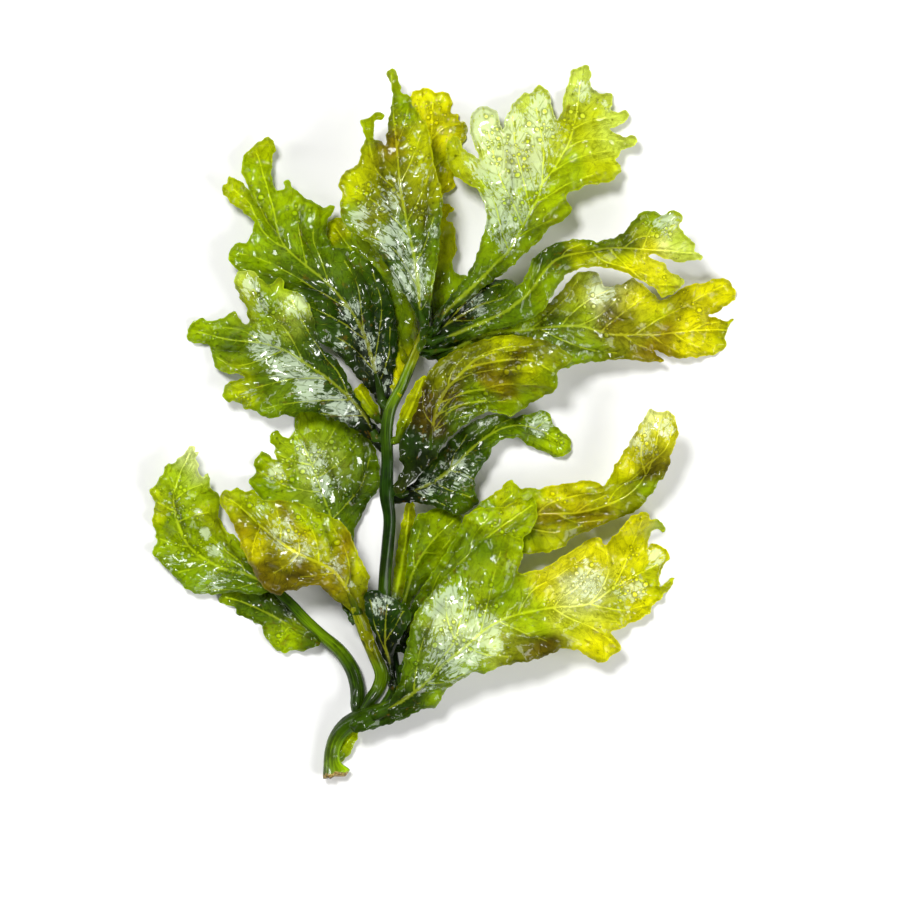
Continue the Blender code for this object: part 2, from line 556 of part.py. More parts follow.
def widened(grid, cells):
    """Each cell takes the greatest value within that many cells of it."""
    found = grid.copy()
    for i in range(-cells, cells + 1):
        for j in range(-cells, cells + 1):
            if i * i + j * j <= cells * cells:
                found = np.maximum(found, np.roll(grid, (i, j), axis=(0, 1)))
    return found


def blurred(grid, passes):
    for _ in range(passes):
        for axis in (0, 1):
            grid = (np.roll(grid, 1, axis) + grid + np.roll(grid, -1, axis)) / 3
    return grid


def settled(points, heights, faces, pile, stems, base):
    """Heights lifted just enough to clear what lies under the blade, easing off round each high spot."""
    spread = samples(points, heights, faces)
    cells = pile.cells(spread)
    near_base = np.linalg.norm(spread[:, :2] - base, axis=1) < GRIP
    below = widened(pile.top, 1)[cells]
    below = np.maximum(below, np.where(near_base, EMPTY, widened(stems.top, 1)[cells]))
    clearance = np.where(near_base, BASE_CLEARANCE, CLEARANCE)
    need = np.where(below > EMPTY, np.maximum(below + clearance - spread[:, 2], 0), 0)
    lift = np.zeros_like(pile.top)
    np.maximum.at(lift, cells, need)
    at = pile.cells(points)
    least = blurred(widened(lift, NEAR_CELLS), 1)[at]
    eased = blurred(widened(lift, SPREAD_CELLS), SPREAD_PASSES)[at]
    held = smoothstep(np.linalg.norm(points - base, axis=1) / GRIP)
    return heights + np.maximum(least, eased * held)


def vertex_normals(points, faces):
    """Upward unit normals of the mid-surface."""
    corners = points[faces]
    across = np.cross(corners[:, 1] - corners[:, 0], corners[:, 2] - corners[:, 0])
    across *= np.sign(across[:, 2:3]) + (across[:, 2:3] == 0)
    normals = np.zeros_like(points)
    for k in range(3):
        np.add.at(normals, faces[:, k], across)
    return normals / np.linalg.norm(normals, axis=1, keepdims=True)


def sheet_mesh(name, middle, faces, thickness):
    """A closed thin sheet about its middle surface, kept above Z = 0."""
    turned = middle[faces]
    flat = np.cross(turned[:, 1] - turned[:, 0], turned[:, 2] - turned[:, 0])[:, 2]
    faces = np.where((flat > 0)[:, None], faces, faces[:, ::-1])
    normals = vertex_normals(middle, faces)
    over = middle + normals * thickness / 2
    under = middle - normals * thickness / 2
    under[:, 2] = np.maximum(under[:, 2], 0)
    over[:, 2] = np.maximum(over[:, 2], under[:, 2] + thickness / 2)
    count = len(middle)
    edges = {}
    for a, b, c in faces:
        for start, end in ((a, b), (b, c), (c, a)):
            edges[(start, end)] = True
    rim = [(a, b) for a, b in edges if (b, a) not in edges]
    shell = [tuple(f) for f in faces]
    shell += [(c + count, b + count, a + count) for a, b, c in faces]
    for a, b in rim:
        shell += [(b, a, a + count), (b, a + count, b + count)]
    mesh = bpy.data.meshes.new(name)
    mesh.from_pydata(np.vstack([over, under]).tolist(), [], [tuple(map(int, f)) for f in shell])
    mesh.update()
    return mesh


def tube_rings(path, radii, sides):
    """Rings of points round a path: (rings, sides, 3)."""
    runs = np.gradient(path, axis=0)
    runs /= np.linalg.norm(runs, axis=1, keepdims=True)
    side = np.cross(runs, (0.0, 0.0, 1.0))
    side /= np.linalg.norm(side, axis=1, keepdims=True)
    up = np.cross(side, runs)
    turns = np.linspace(0, 2 * math.pi, sides, endpoint=False)[None, :, None]
    return path[:, None] + radii[:, None, None] * (np.cos(turns) * side[:, None] + np.sin(turns) * up[:, None])


def tube_mesh(name, path, radii, sides):
    """A round closed tube along a path, with flat ends."""
    last = len(path) - 1
    faces = []
    for i in range(last):
        for k in range(sides):
            a, b = i * sides + k, i * sides + (k + 1) % sides
            faces.append((a, a + sides, b + sides, b))
    faces.append(tuple(range(sides)))
    faces.append(tuple(last * sides + k for k in reversed(range(sides))))
    mesh = bpy.data.meshes.new(name)
    mesh.from_pydata(tube_rings(path, radii, sides).reshape(-1, 3).tolist(), [], faces)
    mesh.update()
    return mesh


def material(name, colour):
    made = bpy.data.materials.new(name)
    made.use_nodes = True
    shader = made.node_tree.nodes["Principled BSDF"]
    shader.inputs["Base Color"].default_value = (*colour, 1)
    shader.inputs["Roughness"].default_value = WET_ROUGHNESS
    shader.inputs["Metallic"].default_value = 0
    shader.inputs["Coat Weight"].default_value = 1
    return made


def add_object(mesh, finish):
    obj = bpy.data.objects.new(mesh.name, mesh)
    mesh.materials.append(finish)
    mesh.shade_smooth()
    mesh.set_sharp_from_angle(angle=SHARP_ANGLE)
    bpy.context.scene.collection.objects.link(obj)
    return obj


def stem_courses():
    """Each stem's centreline and radii, in metres."""
    courses = {}
    for name, course in STEMS.items():
        course = np.array(course, float)
        read = smooth_line(np.column_stack([placed(course), course[:, 2:] * MM]), 2 * len(course))
        courses[name] = (read[:, :3], read[:, 3])
    return courses


def build_blade(name, spec, pile, stems):
    rim = placed(spec["rim"])
    base = placed(spec["rib"])[0]
    points, faces = triangulated(rim, inner_points(rim, BLADE_SPACING))
    heights = np.maximum(design_heights(points, rim, spec), BLADE_THICKNESS / 2)
    heights = settled(points, heights, faces, pile, stems, base)
    pile.add(samples(points, heights, faces))
    middle = np.column_stack([points, heights])
    add_object(sheet_mesh(name, middle, faces, BLADE_THICKNESS), material(name, spec["finish"]))


def build():
    clear_scene()
    drawn = placed([point for spec in BLADES.values() for point in spec["rim"]])
    pile = Pile(drawn.min(axis=0), drawn.max(axis=0))
    stems = Pile(drawn.min(axis=0), drawn.max(axis=0))
    courses = stem_courses()
    for name, (path, radii) in courses.items():
        add_object(tube_mesh(name, path, radii, STEM_SIDES), material(name, STEM_GREEN))
    for name, spec in BLADES.items():
        if name == FIRST_OVER_STEMS:
            for path, radii in courses.values():
                for line in tube_rings(path, radii, 2 * STEM_SIDES).transpose(1, 0, 2):
                    stems.add(smooth_line(line, SAMPLE_STEPS * len(line)))
        build_blade(name, spec, pile, stems)


build()
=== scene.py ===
# %% [markdown]
# # A sprig of sea lettuce
#
# Sea lettuce is a green seaweed. A short, forked stipe carries blades only a fraction of a millimetre
# thick, and out of the water the wet blades lie over each other in a loose pile. The sprig lies on its
# back here, and the camera looks straight down on it.
#
# The frame holds a plain solid for every stem and blade. This lesson dresses each of them with a finer
# skin: smooth outlines, folds, veins, ruffles, blisters, and wet, translucent colour.

# %% Load the frame
import json
import math

import bmesh
import bpy
import numpy as np
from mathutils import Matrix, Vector
from mathutils.geometry import delaunay_2d_cdt

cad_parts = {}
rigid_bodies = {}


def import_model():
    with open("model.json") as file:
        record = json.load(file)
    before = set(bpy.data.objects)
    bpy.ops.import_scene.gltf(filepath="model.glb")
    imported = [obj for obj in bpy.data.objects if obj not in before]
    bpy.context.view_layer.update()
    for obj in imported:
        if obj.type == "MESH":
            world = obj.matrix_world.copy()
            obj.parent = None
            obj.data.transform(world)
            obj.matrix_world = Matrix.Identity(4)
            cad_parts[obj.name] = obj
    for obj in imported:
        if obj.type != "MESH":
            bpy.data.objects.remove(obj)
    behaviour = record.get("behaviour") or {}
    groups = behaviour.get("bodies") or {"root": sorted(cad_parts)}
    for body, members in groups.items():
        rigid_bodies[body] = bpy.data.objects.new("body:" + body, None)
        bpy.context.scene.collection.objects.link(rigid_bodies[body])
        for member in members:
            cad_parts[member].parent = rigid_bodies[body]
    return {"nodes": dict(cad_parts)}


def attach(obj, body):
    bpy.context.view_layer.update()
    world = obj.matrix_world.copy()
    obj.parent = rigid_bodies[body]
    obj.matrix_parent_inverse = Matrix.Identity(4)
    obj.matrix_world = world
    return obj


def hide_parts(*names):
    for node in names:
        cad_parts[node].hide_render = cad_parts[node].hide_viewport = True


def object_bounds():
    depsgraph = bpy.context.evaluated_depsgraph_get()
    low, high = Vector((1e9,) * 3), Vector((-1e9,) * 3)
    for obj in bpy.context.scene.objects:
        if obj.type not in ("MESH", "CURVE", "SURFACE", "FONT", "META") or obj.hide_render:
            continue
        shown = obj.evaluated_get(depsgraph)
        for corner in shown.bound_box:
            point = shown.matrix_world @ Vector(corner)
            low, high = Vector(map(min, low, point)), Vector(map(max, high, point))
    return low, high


for leftover in list(bpy.data.objects):
    bpy.data.objects.remove(leftover)
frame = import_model()
CAD_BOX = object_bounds()
print("frame:", len(frame["nodes"]), "nodes")

# %% [markdown]
# ## Places and sizes
#
# Veins and colours are placed on a drawing of 900 by 900 units with its corner at the top left, because
# it is easy to point at a place on a flat picture of the sprig. The sprig fills 714 units of it from the
# foot to the highest tip, and its real length comes from the frame, so one unit is about 0.31 mm. The
# solids reach a little past the drawn tips, because their outlines are smooth curves.

# %% Units
MM = 0.001
DRAWN_LENGTH = 714
DRAWN_CENTRE = np.array((444.5, 421.5))
DRAWN_SIDE = 900
PAST_THE_TIPS = 0.8
UNIT = (CAD_BOX[1][1] - CAD_BOX[0][1]) / (DRAWN_LENGTH + PAST_THE_TIPS)
SOLID_THICKNESS = 0.8 * MM


def placed(points):
    """Drawn (across, down) units as metres."""
    return (np.asarray(points, float)[..., :2] - DRAWN_CENTRE) * (UNIT, -UNIT)


print("one unit is", round(UNIT / MM, 4), "mm")

# %% [markdown]
# ## Curves and distances
#
# An outline and a vein are both drawn with few points. A Catmull-Rom curve passes through every one of
# them, so the points stay easy to move, and reading it at even steps gives as fine a line as is needed.

# %% Curve helpers
def smooth_line(points, step, closed=False):
    """Points at even steps along a Catmull-Rom curve through the given ones."""
    points = np.asarray(points, float)
    if closed:
        padded = np.vstack([points[-1:], points, points[:2]])
    else:
        padded = np.vstack([2 * points[0] - points[1], points, 2 * points[-1] - points[-2]])
    shares = np.linspace(0, 1, 12, endpoint=False)[:, None]
    runs = []
    for a, b, c, d in zip(padded, padded[1:], padded[2:], padded[3:]):
        bend = (c - a) * shares + (2 * a - 5 * b + 4 * c - d) * shares**2
        runs.append(0.5 * (2 * b + bend + (3 * b - 3 * c + d - a) * shares**3))
    line = np.vstack(runs + [padded[-2][None]])
    travel = travelled(line)
    count = max(3, int(travel[-1] / step) + 1)
    at = np.linspace(0, travel[-1], count, endpoint=not closed)
    return np.column_stack([np.interp(at, travel, line[:, k]) for k in range(line.shape[1])])


def travelled(line):
    steps = np.linalg.norm(np.diff(line, axis=0), axis=1)
    return np.concatenate([[0], np.cumsum(steps)])


def nearest(points, line):
    """For each point, the distance to the line's nearest point and that point's index."""
    distance = np.empty(len(points))
    index = np.empty(len(points), int)
    for start in range(0, len(points), 2000):
        part = points[start : start + 2000]
        away = ((part[:, None] - line[None]) ** 2).sum(axis=2)
        index[start : start + 2000] = away.argmin(axis=1)
        distance[start : start + 2000] = np.sqrt(away.min(axis=1))
    return distance, index


def smoothstep(x):
    x = np.clip(x, 0, 1)
    return x * x * (3 - 2 * x)


def inside(points, rim):
    """Which points lie inside a closed line: a ray from them crosses it an odd number of times."""
    x0, y0 = rim.T
    x1, y1 = np.roll(rim, -1, axis=0).T
    slope = (x1 - x0) / np.where(y1 == y0, 1, y1 - y0)
    found = np.empty(len(points), bool)
    for start in range(0, len(points), 1000):
        x, y = points[start : start + 1000, :, None].transpose(1, 0, 2)
        crossed = ((y0 > y) != (y1 > y)) & (x < slope * (y - y0) + x0)
        found[start : start + 1000] = crossed.sum(axis=1) % 2 == 1
    return found


square = smooth_line([(0, 0), (1, 0), (1, 1), (0, 1)], 0.05, closed=True)
print("a curve through the corners of a square:", len(square), "points")
print("its middle is inside:", inside(np.array([(0.5, 0.5)]), square)[0])

# %% [markdown]
# ## The height of a blade's solid
#
# Each blade is a sheet, so two things say everything about its solid: the height of its middle, and its
# outline seen from above. The height is a thin-plate fit, the shape that a springy plate takes when it is
# held at every corner of the solid, so that no facet shows in the finer skin.

# %% Height of a solid
WELD = 1e-6
FIT_SCALE = 20 * MM
FIT_SLACK = 0.01
KEEPS_LOG_FINITE = 1e-12


def welded(node):
    mesh = bmesh.new()
    mesh.from_mesh(frame["nodes"][node].data)
    bmesh.ops.remove_doubles(mesh, verts=mesh.verts, dist=WELD)
    return mesh


def plate(points, pins):
    away = ((points[:, None] - pins[None]) ** 2).sum(axis=2) / FIT_SCALE**2
    return 0.5 * away * np.log(away + KEEPS_LOG_FINITE)


def height_fit(mesh):
    """A function that gives the height of the solid's middle at any points."""
    corners = np.array([v.co for v in mesh.verts])
    pins = corners[:, :2]
    count = len(pins)
    flat = np.column_stack([np.ones(count), pins / FIT_SCALE])
    system = np.zeros((count + 3, count + 3))
    system[:count, :count] = plate(pins, pins) + FIT_SLACK * np.eye(count)
    system[:count, count:] = flat
    system[count:, :count] = flat.T
    weights = np.linalg.solve(system, np.concatenate([corners[:, 2], np.zeros(3)]))

    def height(points):
        slope = np.column_stack([np.ones(len(points)), points / FIT_SCALE])
        return plate(points, pins) @ weights[:count] + slope @ weights[count:]

    return height


sheets = [name for name in frame["nodes"] if name.startswith(("blade", "leaflet", "sheath"))]
print("nodes that are sheets:", len(sheets))

# %% [markdown]
# ## The outline of a blade's solid
#
# The fit runs between the two faces of the sheet, so corners above it belong to the upper face, and the
# edge of that face is the outline. A finer rim may wander past the solid by a fraction of a millimetre.
# There the fit would soon run away, so a point outside takes the height of the nearest point of the
# outline.

# %% Outline of a solid
def outline(mesh, height):
    """The edge of the solid's upper face, seen from above, as points in order."""
    corners = np.array([v.co for v in mesh.verts])
    above = dict(zip(mesh.verts, corners[:, 2] > height(corners[:, :2])))
    links = {}
    for edge in mesh.edges:
        a, b = edge.verts
        mixed = [any(not above[v] for v in face.verts) for face in edge.link_faces]
        if above[a] and above[b] and any(mixed) and not all(mixed):
            links.setdefault(a, []).append(b)
            links.setdefault(b, []).append(a)
    start = next(iter(links))
    loop = [start, links[start][0]]
    while loop[-1] != start:
        a, b = links[loop[-1]]
        loop.append(a if b == loop[-2] else b)
    return np.array([v.co.xy for v in loop[:-1]])


def levelled(fit, solid_rim):
    """The height fit, kept level outside the solid, where a fit alone would run away."""
    edge = smooth_line(solid_rim, 1.0 * MM, closed=True)

    def height(points):
        held = points.copy()
        outside = ~inside(points, solid_rim)
        if outside.any():
            held[outside] = edge[nearest(points[outside], edge)[1]]
        return fit(held)

    return height


first = welded(sheets[0])
print(sheets[0], "has", len(outline(first, height_fit(first))), "corners in its outline")

# %% [markdown]
# ## The outline of a real blade
#
# The margin of a sea lettuce blade is never a clean cut: it grows faster than the middle, so it is finely
# scalloped and it ruffles. Both come from a few sine waves that run round the rim a whole number of
# times, so that the end meets the start. A slow sine, squared, lets them swell and calm on the way.

# %% Waves round the rim
RIM_STEP = 0.5 * MM
SCALLOPS = ((1.7, 0.08), (2.9, 0.14), (4.9, 0.20))
RUFFLES = ((3.4, 0.18), (5.2, 0.42), (8.6, 0.70))
SLOW_TURNS = 3
CALMEST = 0.5


def waves_round(rim, waves, rng):
    """A height for each point of a closed line, from (wavelength, size) pairs in mm."""
    travel = travelled(np.vstack([rim, rim[:1]]))
    total = np.zeros(len(rim))
    for length, size in waves:
        turns = max(1, round(travel[-1] / (length * MM)))
        total += size * MM * np.sin(2 * math.pi * (turns * travel[:-1] / travel[-1] + rng.random()))
    slow = np.sin(2 * math.pi * (SLOW_TURNS * travel[:-1] / travel[-1] + rng.random()))
    return total * (CALMEST + (1 - CALMEST) * slow**2)


def scalloped(points, rng):
    rim = smooth_line(points, RIM_STEP, closed=True)
    run = np.roll(rim, -1, axis=0) - np.roll(rim, 1, axis=0)
    out = np.column_stack([run[:, 1], -run[:, 0]]) / np.linalg.norm(run, axis=1, keepdims=True)
    return rim + out * waves_round(rim, SCALLOPS, rng)[:, None]


print("scallops up to", SCALLOPS[-1][0], "mm long, ruffles up to", RUFFLES[-1][0], "mm")

# %% [markdown]
# ## Veins
#
# Pale veins fork from a midrib like those of a leaf. The midrib and its main branches are drawn, because
# they are easy to recognise. The many branchlets only need to look right, so each grows from a drawn vein
# at about forty degrees and bends along it, and stops near the rim or near another vein.

# %% Growing branchlets
BRANCHLET_GAP = 3.6 * MM
BRANCHLET_ANGLE = math.radians(42)
BRANCHLET_LENGTH = 15 * MM
BRANCHLET_STEP = 0.8 * MM
# The first pair stands this share of a gap up the vein.
FIRST_BRANCHLET = 0.6
# Mean and spread of the bend at each step, in radians.
BEND_PER_STEP = (-0.02, 0.05)
CLEAR_OF_VEIN = 1.1 * MM
CLEAR_OF_RIM = 0.9 * MM


def branchlets(veins, rim, rng):
    """Lines that grow from both sides of each vein."""
    grown = []
    taken = np.vstack(veins)
    for vein in veins:
        travel = travelled(vein)
        for at in np.arange(FIRST_BRANCHLET, travel[-1] / BRANCHLET_GAP, 1.0):
            i = min(int(np.searchsorted(travel, at * BRANCHLET_GAP)), len(vein) - 2)
            run = vein[i + 1] - vein[i]
            heading = math.atan2(run[1], run[0])
            for side in (-1, 1):
                turn = heading + side * BRANCHLET_ANGLE * rng.uniform(0.8, 1.25)
                place = vein[i].copy()
                line = [place.copy()]
                steps = int(BRANCHLET_LENGTH * rng.uniform(0.4, 1.0) / BRANCHLET_STEP)
                for step in range(steps):
                    turn += side * rng.normal(*BEND_PER_STEP)
                    place = place + BRANCHLET_STEP * np.array((math.cos(turn), math.sin(turn)))
                    away = np.linalg.norm(rim - place, axis=1).min()
                    near = np.linalg.norm(taken - place, axis=1).min()
                    if away < CLEAR_OF_RIM or step > 2 and near < CLEAR_OF_VEIN:
                        break
                    line.append(place)
                if len(line) > 3 and inside(np.array(line[-1:]), rim)[0]:
                    grown.append(np.array(line))
                    taken = np.vstack([taken, line])
    return grown


print("a branchlet every", round(BRANCHLET_GAP / MM, 1), "mm, on both sides of a drawn vein")

# %% [markdown]
# ## Points where they matter
#
# A grid fine enough for a vein 0.3 mm wide would be far too heavy all over. So the skin has rows of points
# along the rim and the veins, rings of them at the blisters, and a coarser lattice between. A point too
# near an earlier one is left out. Points are remembered by square cells, so that only the cells around a
# point are searched.

# %% Points kept apart
LATTICE = 0.95 * MM
CELL = 1.0 * MM


def kept_apart(groups):
    """Points in order, each at least its group's distance from all earlier ones."""
    kept = []
    cells = {}
    around = [(i, j) for i in (-1, 0, 1) for j in (-1, 0, 1)]
    for points, gap in groups:
        for x, y in points:
            across, along = int(x // CELL), int(y // CELL)
            close = any(
                (x - a) ** 2 + (y - b) ** 2 < gap * gap
                for i, j in around
                for a, b in cells.get((across + i, along + j), ())
            )
            if not close:
                cells.setdefault((across, along), []).append((x, y))
                kept.append((x, y))
    return np.array(kept)


def lattice(rim):
    low, high = rim.min(axis=0), rim.max(axis=0)
    rows = np.arange(low[1], high[1], LATTICE * math.sin(math.pi / 3))
    return np.array([
        (x + (i % 2) * LATTICE / 2, y)
        for i, y in enumerate(rows)
        for x in np.arange(low[0], high[0], LATTICE)
    ])


sample = lattice(np.array([(0, 0), (10 * MM, 10 * MM)]))
print("lattice points on a square centimetre:", len(sample))

# %% [markdown]
# ## Triangles of the skin
#
# The rim comes first, then the rings, the rows and the lattice, so that what shows most is never left out.
# A Delaunay triangulation joins what is kept: it makes no thin slivers where rounder triangles can be had,
# and it keeps to the rim.

# %% Triangles of the skin
ROW_STEP = 0.42 * MM
ROW_SIDE = 0.32 * MM
# Each ring of a blister is (share of its radius, number of points).
BLISTER_RINGS = ((0.0, 1), (0.5, 6), (0.85, 9), (1.1, 10))
RING_GAP = 0.12 * MM
ROW_GAP = 0.24 * MM
LATTICE_GAP = 0.6 * MM
SAME_POINT = 1e-8


def rows_beside(line, gap):
    run = np.gradient(line, axis=0)
    side = np.column_stack([-run[:, 1], run[:, 0]]) / np.linalg.norm(run, axis=1, keepdims=True)
    return np.vstack([line + gap * side, line - gap * side])


def triangulated(rim, veins, blisters):
    """The flat skin: (points, faces), with the rim's points first."""
    rings = [
        (
            x + r * share * math.cos(2 * math.pi * k / count),
            y + r * share * math.sin(2 * math.pi * k / count),
        )
        for x, y, r in blisters
        for share, count in BLISTER_RINGS
        for k in range(count)
    ]
    middles = np.vstack([smooth_line(v, ROW_STEP) for v in veins])
    sides = np.vstack([rows_beside(smooth_line(v, ROW_STEP), ROW_SIDE) for v in veins])
    groups = [(np.array(rings), RING_GAP)] if rings else []
    groups += [(middles, ROW_GAP), (sides, ROW_GAP), (lattice(rim), LATTICE_GAP)]
    groups = [(points[inside(points, rim)], gap) for points, gap in groups]
    points = kept_apart([(rim, 0)] + groups)
    made = delaunay_2d_cdt([tuple(p) for p in points], [], [list(range(len(rim)))], 1, SAME_POINT)
    faces = np.array(made[2])
    used = np.unique(faces)
    renumbered = np.full(len(made[0]), -1)
    renumbered[used] = np.arange(len(used))
    return np.array([made[0][i] for i in used]), renumbered[faces]


print("points on a blister:", sum(count for _, count in BLISTER_RINGS))

# %% [markdown]
# ## Crumples
#
# A blade out of the water is never smooth. Waves of a few lengths, each laid in its own direction, add up
# to soft crumples that do not repeat. Their height grows with their length, so that all slope alike.

# %% Crumples
CRUMPLES = (6, 8, 11, 15, 21)
CRUMPLE_ROUNDS = 4
CRUMPLE_SLOPE = 0.016


def crumples(points, rng):
    total = np.zeros(len(points))
    for length in CRUMPLES * CRUMPLE_ROUNDS:
        turn = rng.uniform(0, math.pi)
        phase = points @ (math.cos(turn), math.sin(turn)) / (length * MM) + rng.random()
        total += CRUMPLE_SLOPE * length * MM * np.sin(2 * math.pi * phase)
    return total


print("crumples from", CRUMPLES[0], "to", CRUMPLES[-1], "mm long")

# %% [markdown]
# ## Where the veins are
#
# A vein stands up a little and is paler than the blade, so relief and colour both ask how near it is. Its
# mark falls off like a bell across it, and it gets narrower from its root to its tip. The midrib also
# gives every point of the blade a place across and along it, which pleats and creases are measured by.

# %% Marks of the veins
VEIN_REACH = 5 * MM


def vein_marks(points, veins, widths):
    """How much of a vein is at each point, from 0 to 1, and the distance to the nearest one."""
    marks = np.zeros(len(points))
    closest = np.full(len(points), 1.0)
    for vein, (thick, thin, strength) in zip(veins, widths):
        line = smooth_line(vein, 0.4 * MM)
        low, high = line.min(axis=0) - VEIN_REACH, line.max(axis=0) + VEIN_REACH
        close = np.flatnonzero(((points > low) & (points < high)).all(axis=1))
        away, at = nearest(points[close], line)
        width = (thick + (thin - thick) * at / (len(line) - 1)) * MM
        marks[close] = np.maximum(marks[close], strength * np.exp(-((away / width) ** 2)))
        closest[close] = np.minimum(closest[close], away)
    return marks, closest


def beside_midrib(points, midrib):
    """Distance across from the midrib, signed, and distance along it, for each point."""
    line = smooth_line(midrib, 0.5 * MM)
    _, at = nearest(points, line)
    run = np.gradient(line, axis=0)[at]
    run /= np.linalg.norm(run, axis=1, keepdims=True)
    gap = points - line[at]
    return gap[:, 0] * run[:, 1] - gap[:, 1] * run[:, 0], travelled(line)[at] + (gap * run).sum(axis=1)


print("a vein is looked for within", round(VEIN_REACH / MM), "mm")

# %% [markdown]
# ## Folds
#
# Where a blade has collapsed on itself it dips into a narrow valley. The folds are drawn like veins. Each
# is deepest halfway and fades towards both ends, and the same measure darkens the colour in it, because
# little light gets down there.

# %% Folds
FOLD_WIDTH = 1.1 * MM


def in_folds(points, folds):
    """How deep in a drawn fold each point is, from 0 to 1, fading out towards the fold's ends."""
    depth = np.zeros(len(points))
    for fold in folds:
        line = smooth_line(placed(fold), 0.6 * MM)
        away, at = nearest(points, line)
        fade = np.sin(math.pi * (at + 1) / (len(line) + 1)) ** 0.5
        depth = np.maximum(depth, fade * np.exp(-((away / FOLD_WIDTH) ** 2)))
    return depth


print("a fold is about", round(2 * FOLD_WIDTH / MM, 1), "mm wide")

# %% [markdown]
# ## Relief
#
# Light on a wet blade shows every small slope. From large to small there are the crumples, pleats near the
# base where the blade is gathered into its stalk, a trough on both sides of each vein, folds, fine creases
# that fan out from the base, the ruffled margin, and the domes of the blisters. All but the domes are
# added to the height of the solid's middle.
#
# Towards the rim a blade thins out, and the light comes through there.

# %% Relief of the skin
BLADE_THICKNESS = 0.42
RIM_THICKNESS = 0.16
THINS_OVER = 2.0
VEIN_STARTS = 14 * MM
FAINT_AT_BASE = 0.15
RUFFLE_REACH = 2.6 * MM
FAN_START = 8 * MM
PLEAT_WIDTH = 2.4 * MM
PLEAT_RISE = 0.22 * MM
PLEAT_REACH = 13 * MM
TROUGH = 0.40 * MM
TROUGH_REACH = 1.6 * MM
TROUGH_ENDS = 3 * MM
FOLD_DEPTH = 1.1 * MM
FOLD_ENDS = 1.5 * MM
# Each set of creases is (wavelength, size) in mm; they fan out, so the wavelength holds at one width.
CREASES = ((5.6, 0.24), (3.4, 0.13), (2.1, 0.06))
CREASE_FAN = 14
CREASE_DRIFT = 9 * MM
BLISTER_RISE = 0.62
BLISTER_EDGE = 1.2


def relief(points, rim, veins, widths, blisters, folds, middle, rng):
    """At flat points: middle height, thickness, vein marks, distance to the rim, domes, and blisters."""
    edge, at = nearest(points, rim)
    edge[: len(rim)] = 0
    marks, beside = vein_marks(points, veins, widths)
    across, along = beside_midrib(points, veins[0])
    marks *= FAINT_AT_BASE + (1 - FAINT_AT_BASE) * smoothstep(along / VEIN_STARTS)
    fan = across / (0.5 * np.abs(along) + FAN_START)
    gathered = smoothstep(1 - along / PLEAT_REACH) * smoothstep(edge / FOLD_ENDS)
    inwards = smoothstep(edge / MM / THINS_OVER)
    thick = (RIM_THICKNESS + (BLADE_THICKNESS - RIM_THICKNESS) * inwards) * MM
    height = middle(points) - (SOLID_THICKNESS - thick) / 2
    height += crumples(points, rng)
    height += waves_round(rim, RUFFLES, rng)[at] * np.exp(-((edge / RUFFLE_REACH) ** 2))
    height += PLEAT_RISE * gathered * np.cos(2 * math.pi * fan * PLEAT_WIDTH / MM)
    height += TROUGH * (1 - np.exp(-beside / TROUGH_REACH)) * smoothstep(edge / TROUGH_ENDS)
    height -= FOLD_DEPTH * folds * smoothstep(edge / FOLD_ENDS)
    for length, size in CREASES:
        drift = 0.6 * np.sin(along / CREASE_DRIFT + 6 * rng.random())
        turns = fan * CREASE_FAN * MM / (length * MM) + drift + rng.random()
        height += size * MM * np.sin(2 * math.pi * turns)
    domes = np.zeros(len(points))
    swollen = np.zeros(len(points))
    for x, y, r in blisters:
        away = np.linalg.norm(points - (x, y), axis=1) / r
        domes = np.maximum(domes, BLISTER_RISE * r * np.sqrt(np.clip(1 - away**2, 0, 1)))
        swollen = np.maximum(swollen, BLISTER_EDGE - away)
    return np.maximum(height, thick / 2), thick, marks, edge, domes, swollen


print("a blade is", BLADE_THICKNESS, "mm thick, and", RIM_THICKNESS, "mm at its rim")

# %% [markdown]
# ## Two layers, closed at the rim
#
# The relief gives the middle of the blade. Two layers of faces stand off from it along its normals, half
# the thickness to each side, and a strip of faces round the rim closes them. Veins and blisters stand on
# the upper layer, and the lower one shows the veins faintly.

# %% Layers, closed at the rim
VEIN_RISE = 0.34 * MM
FAINTER_BELOW = 0.4
SMALLEST_AREA = 1e-15


def normals(points, faces):
    a, b, c = (points[faces[:, k]] for k in range(3))
    across = np.cross(b - a, c - a)
    total = np.zeros_like(points)
    for k in range(3):
        np.add.at(total, faces[:, k], across)
    return total / np.maximum(np.linalg.norm(total, axis=1, keepdims=True), SMALLEST_AREA)


def layers(points, faces, rim_count, relief_of_points):
    """(points, faces) of the closed skin: upper layer, lower layer, and the strip round the rim."""
    height, thick, marks, _, domes, _ = relief_of_points
    mid = np.column_stack([points, height])
    up = normals(mid, faces)
    over = mid + up * (thick / 2 + VEIN_RISE * marks + domes)[:, None]
    under = mid - up * (thick / 2 + FAINTER_BELOW * VEIN_RISE * marks)[:, None]
    under[:, 2] = np.maximum(under[:, 2], 0)
    count = len(points)
    ring = np.arange(rim_count)
    follow = np.roll(ring, -1)
    strip = [list(q) for q in np.column_stack([ring, ring + count, follow + count, follow])]
    shell = [list(f) for f in faces] + [list(f[::-1] + count) for f in faces] + strip
    return np.vstack([over, under]), shell


print("a vein stands", round(VEIN_RISE / MM, 2), "mm high")

# %% [markdown]
# ## Stems
#
# The stipe forks low down and carries all the blades. Every stem is drawn as a course of places with a
# height and a radius, and a smooth curve runs through them. The ends of a branch run a few millimetres
# into what it grows from, so that no joint shows.

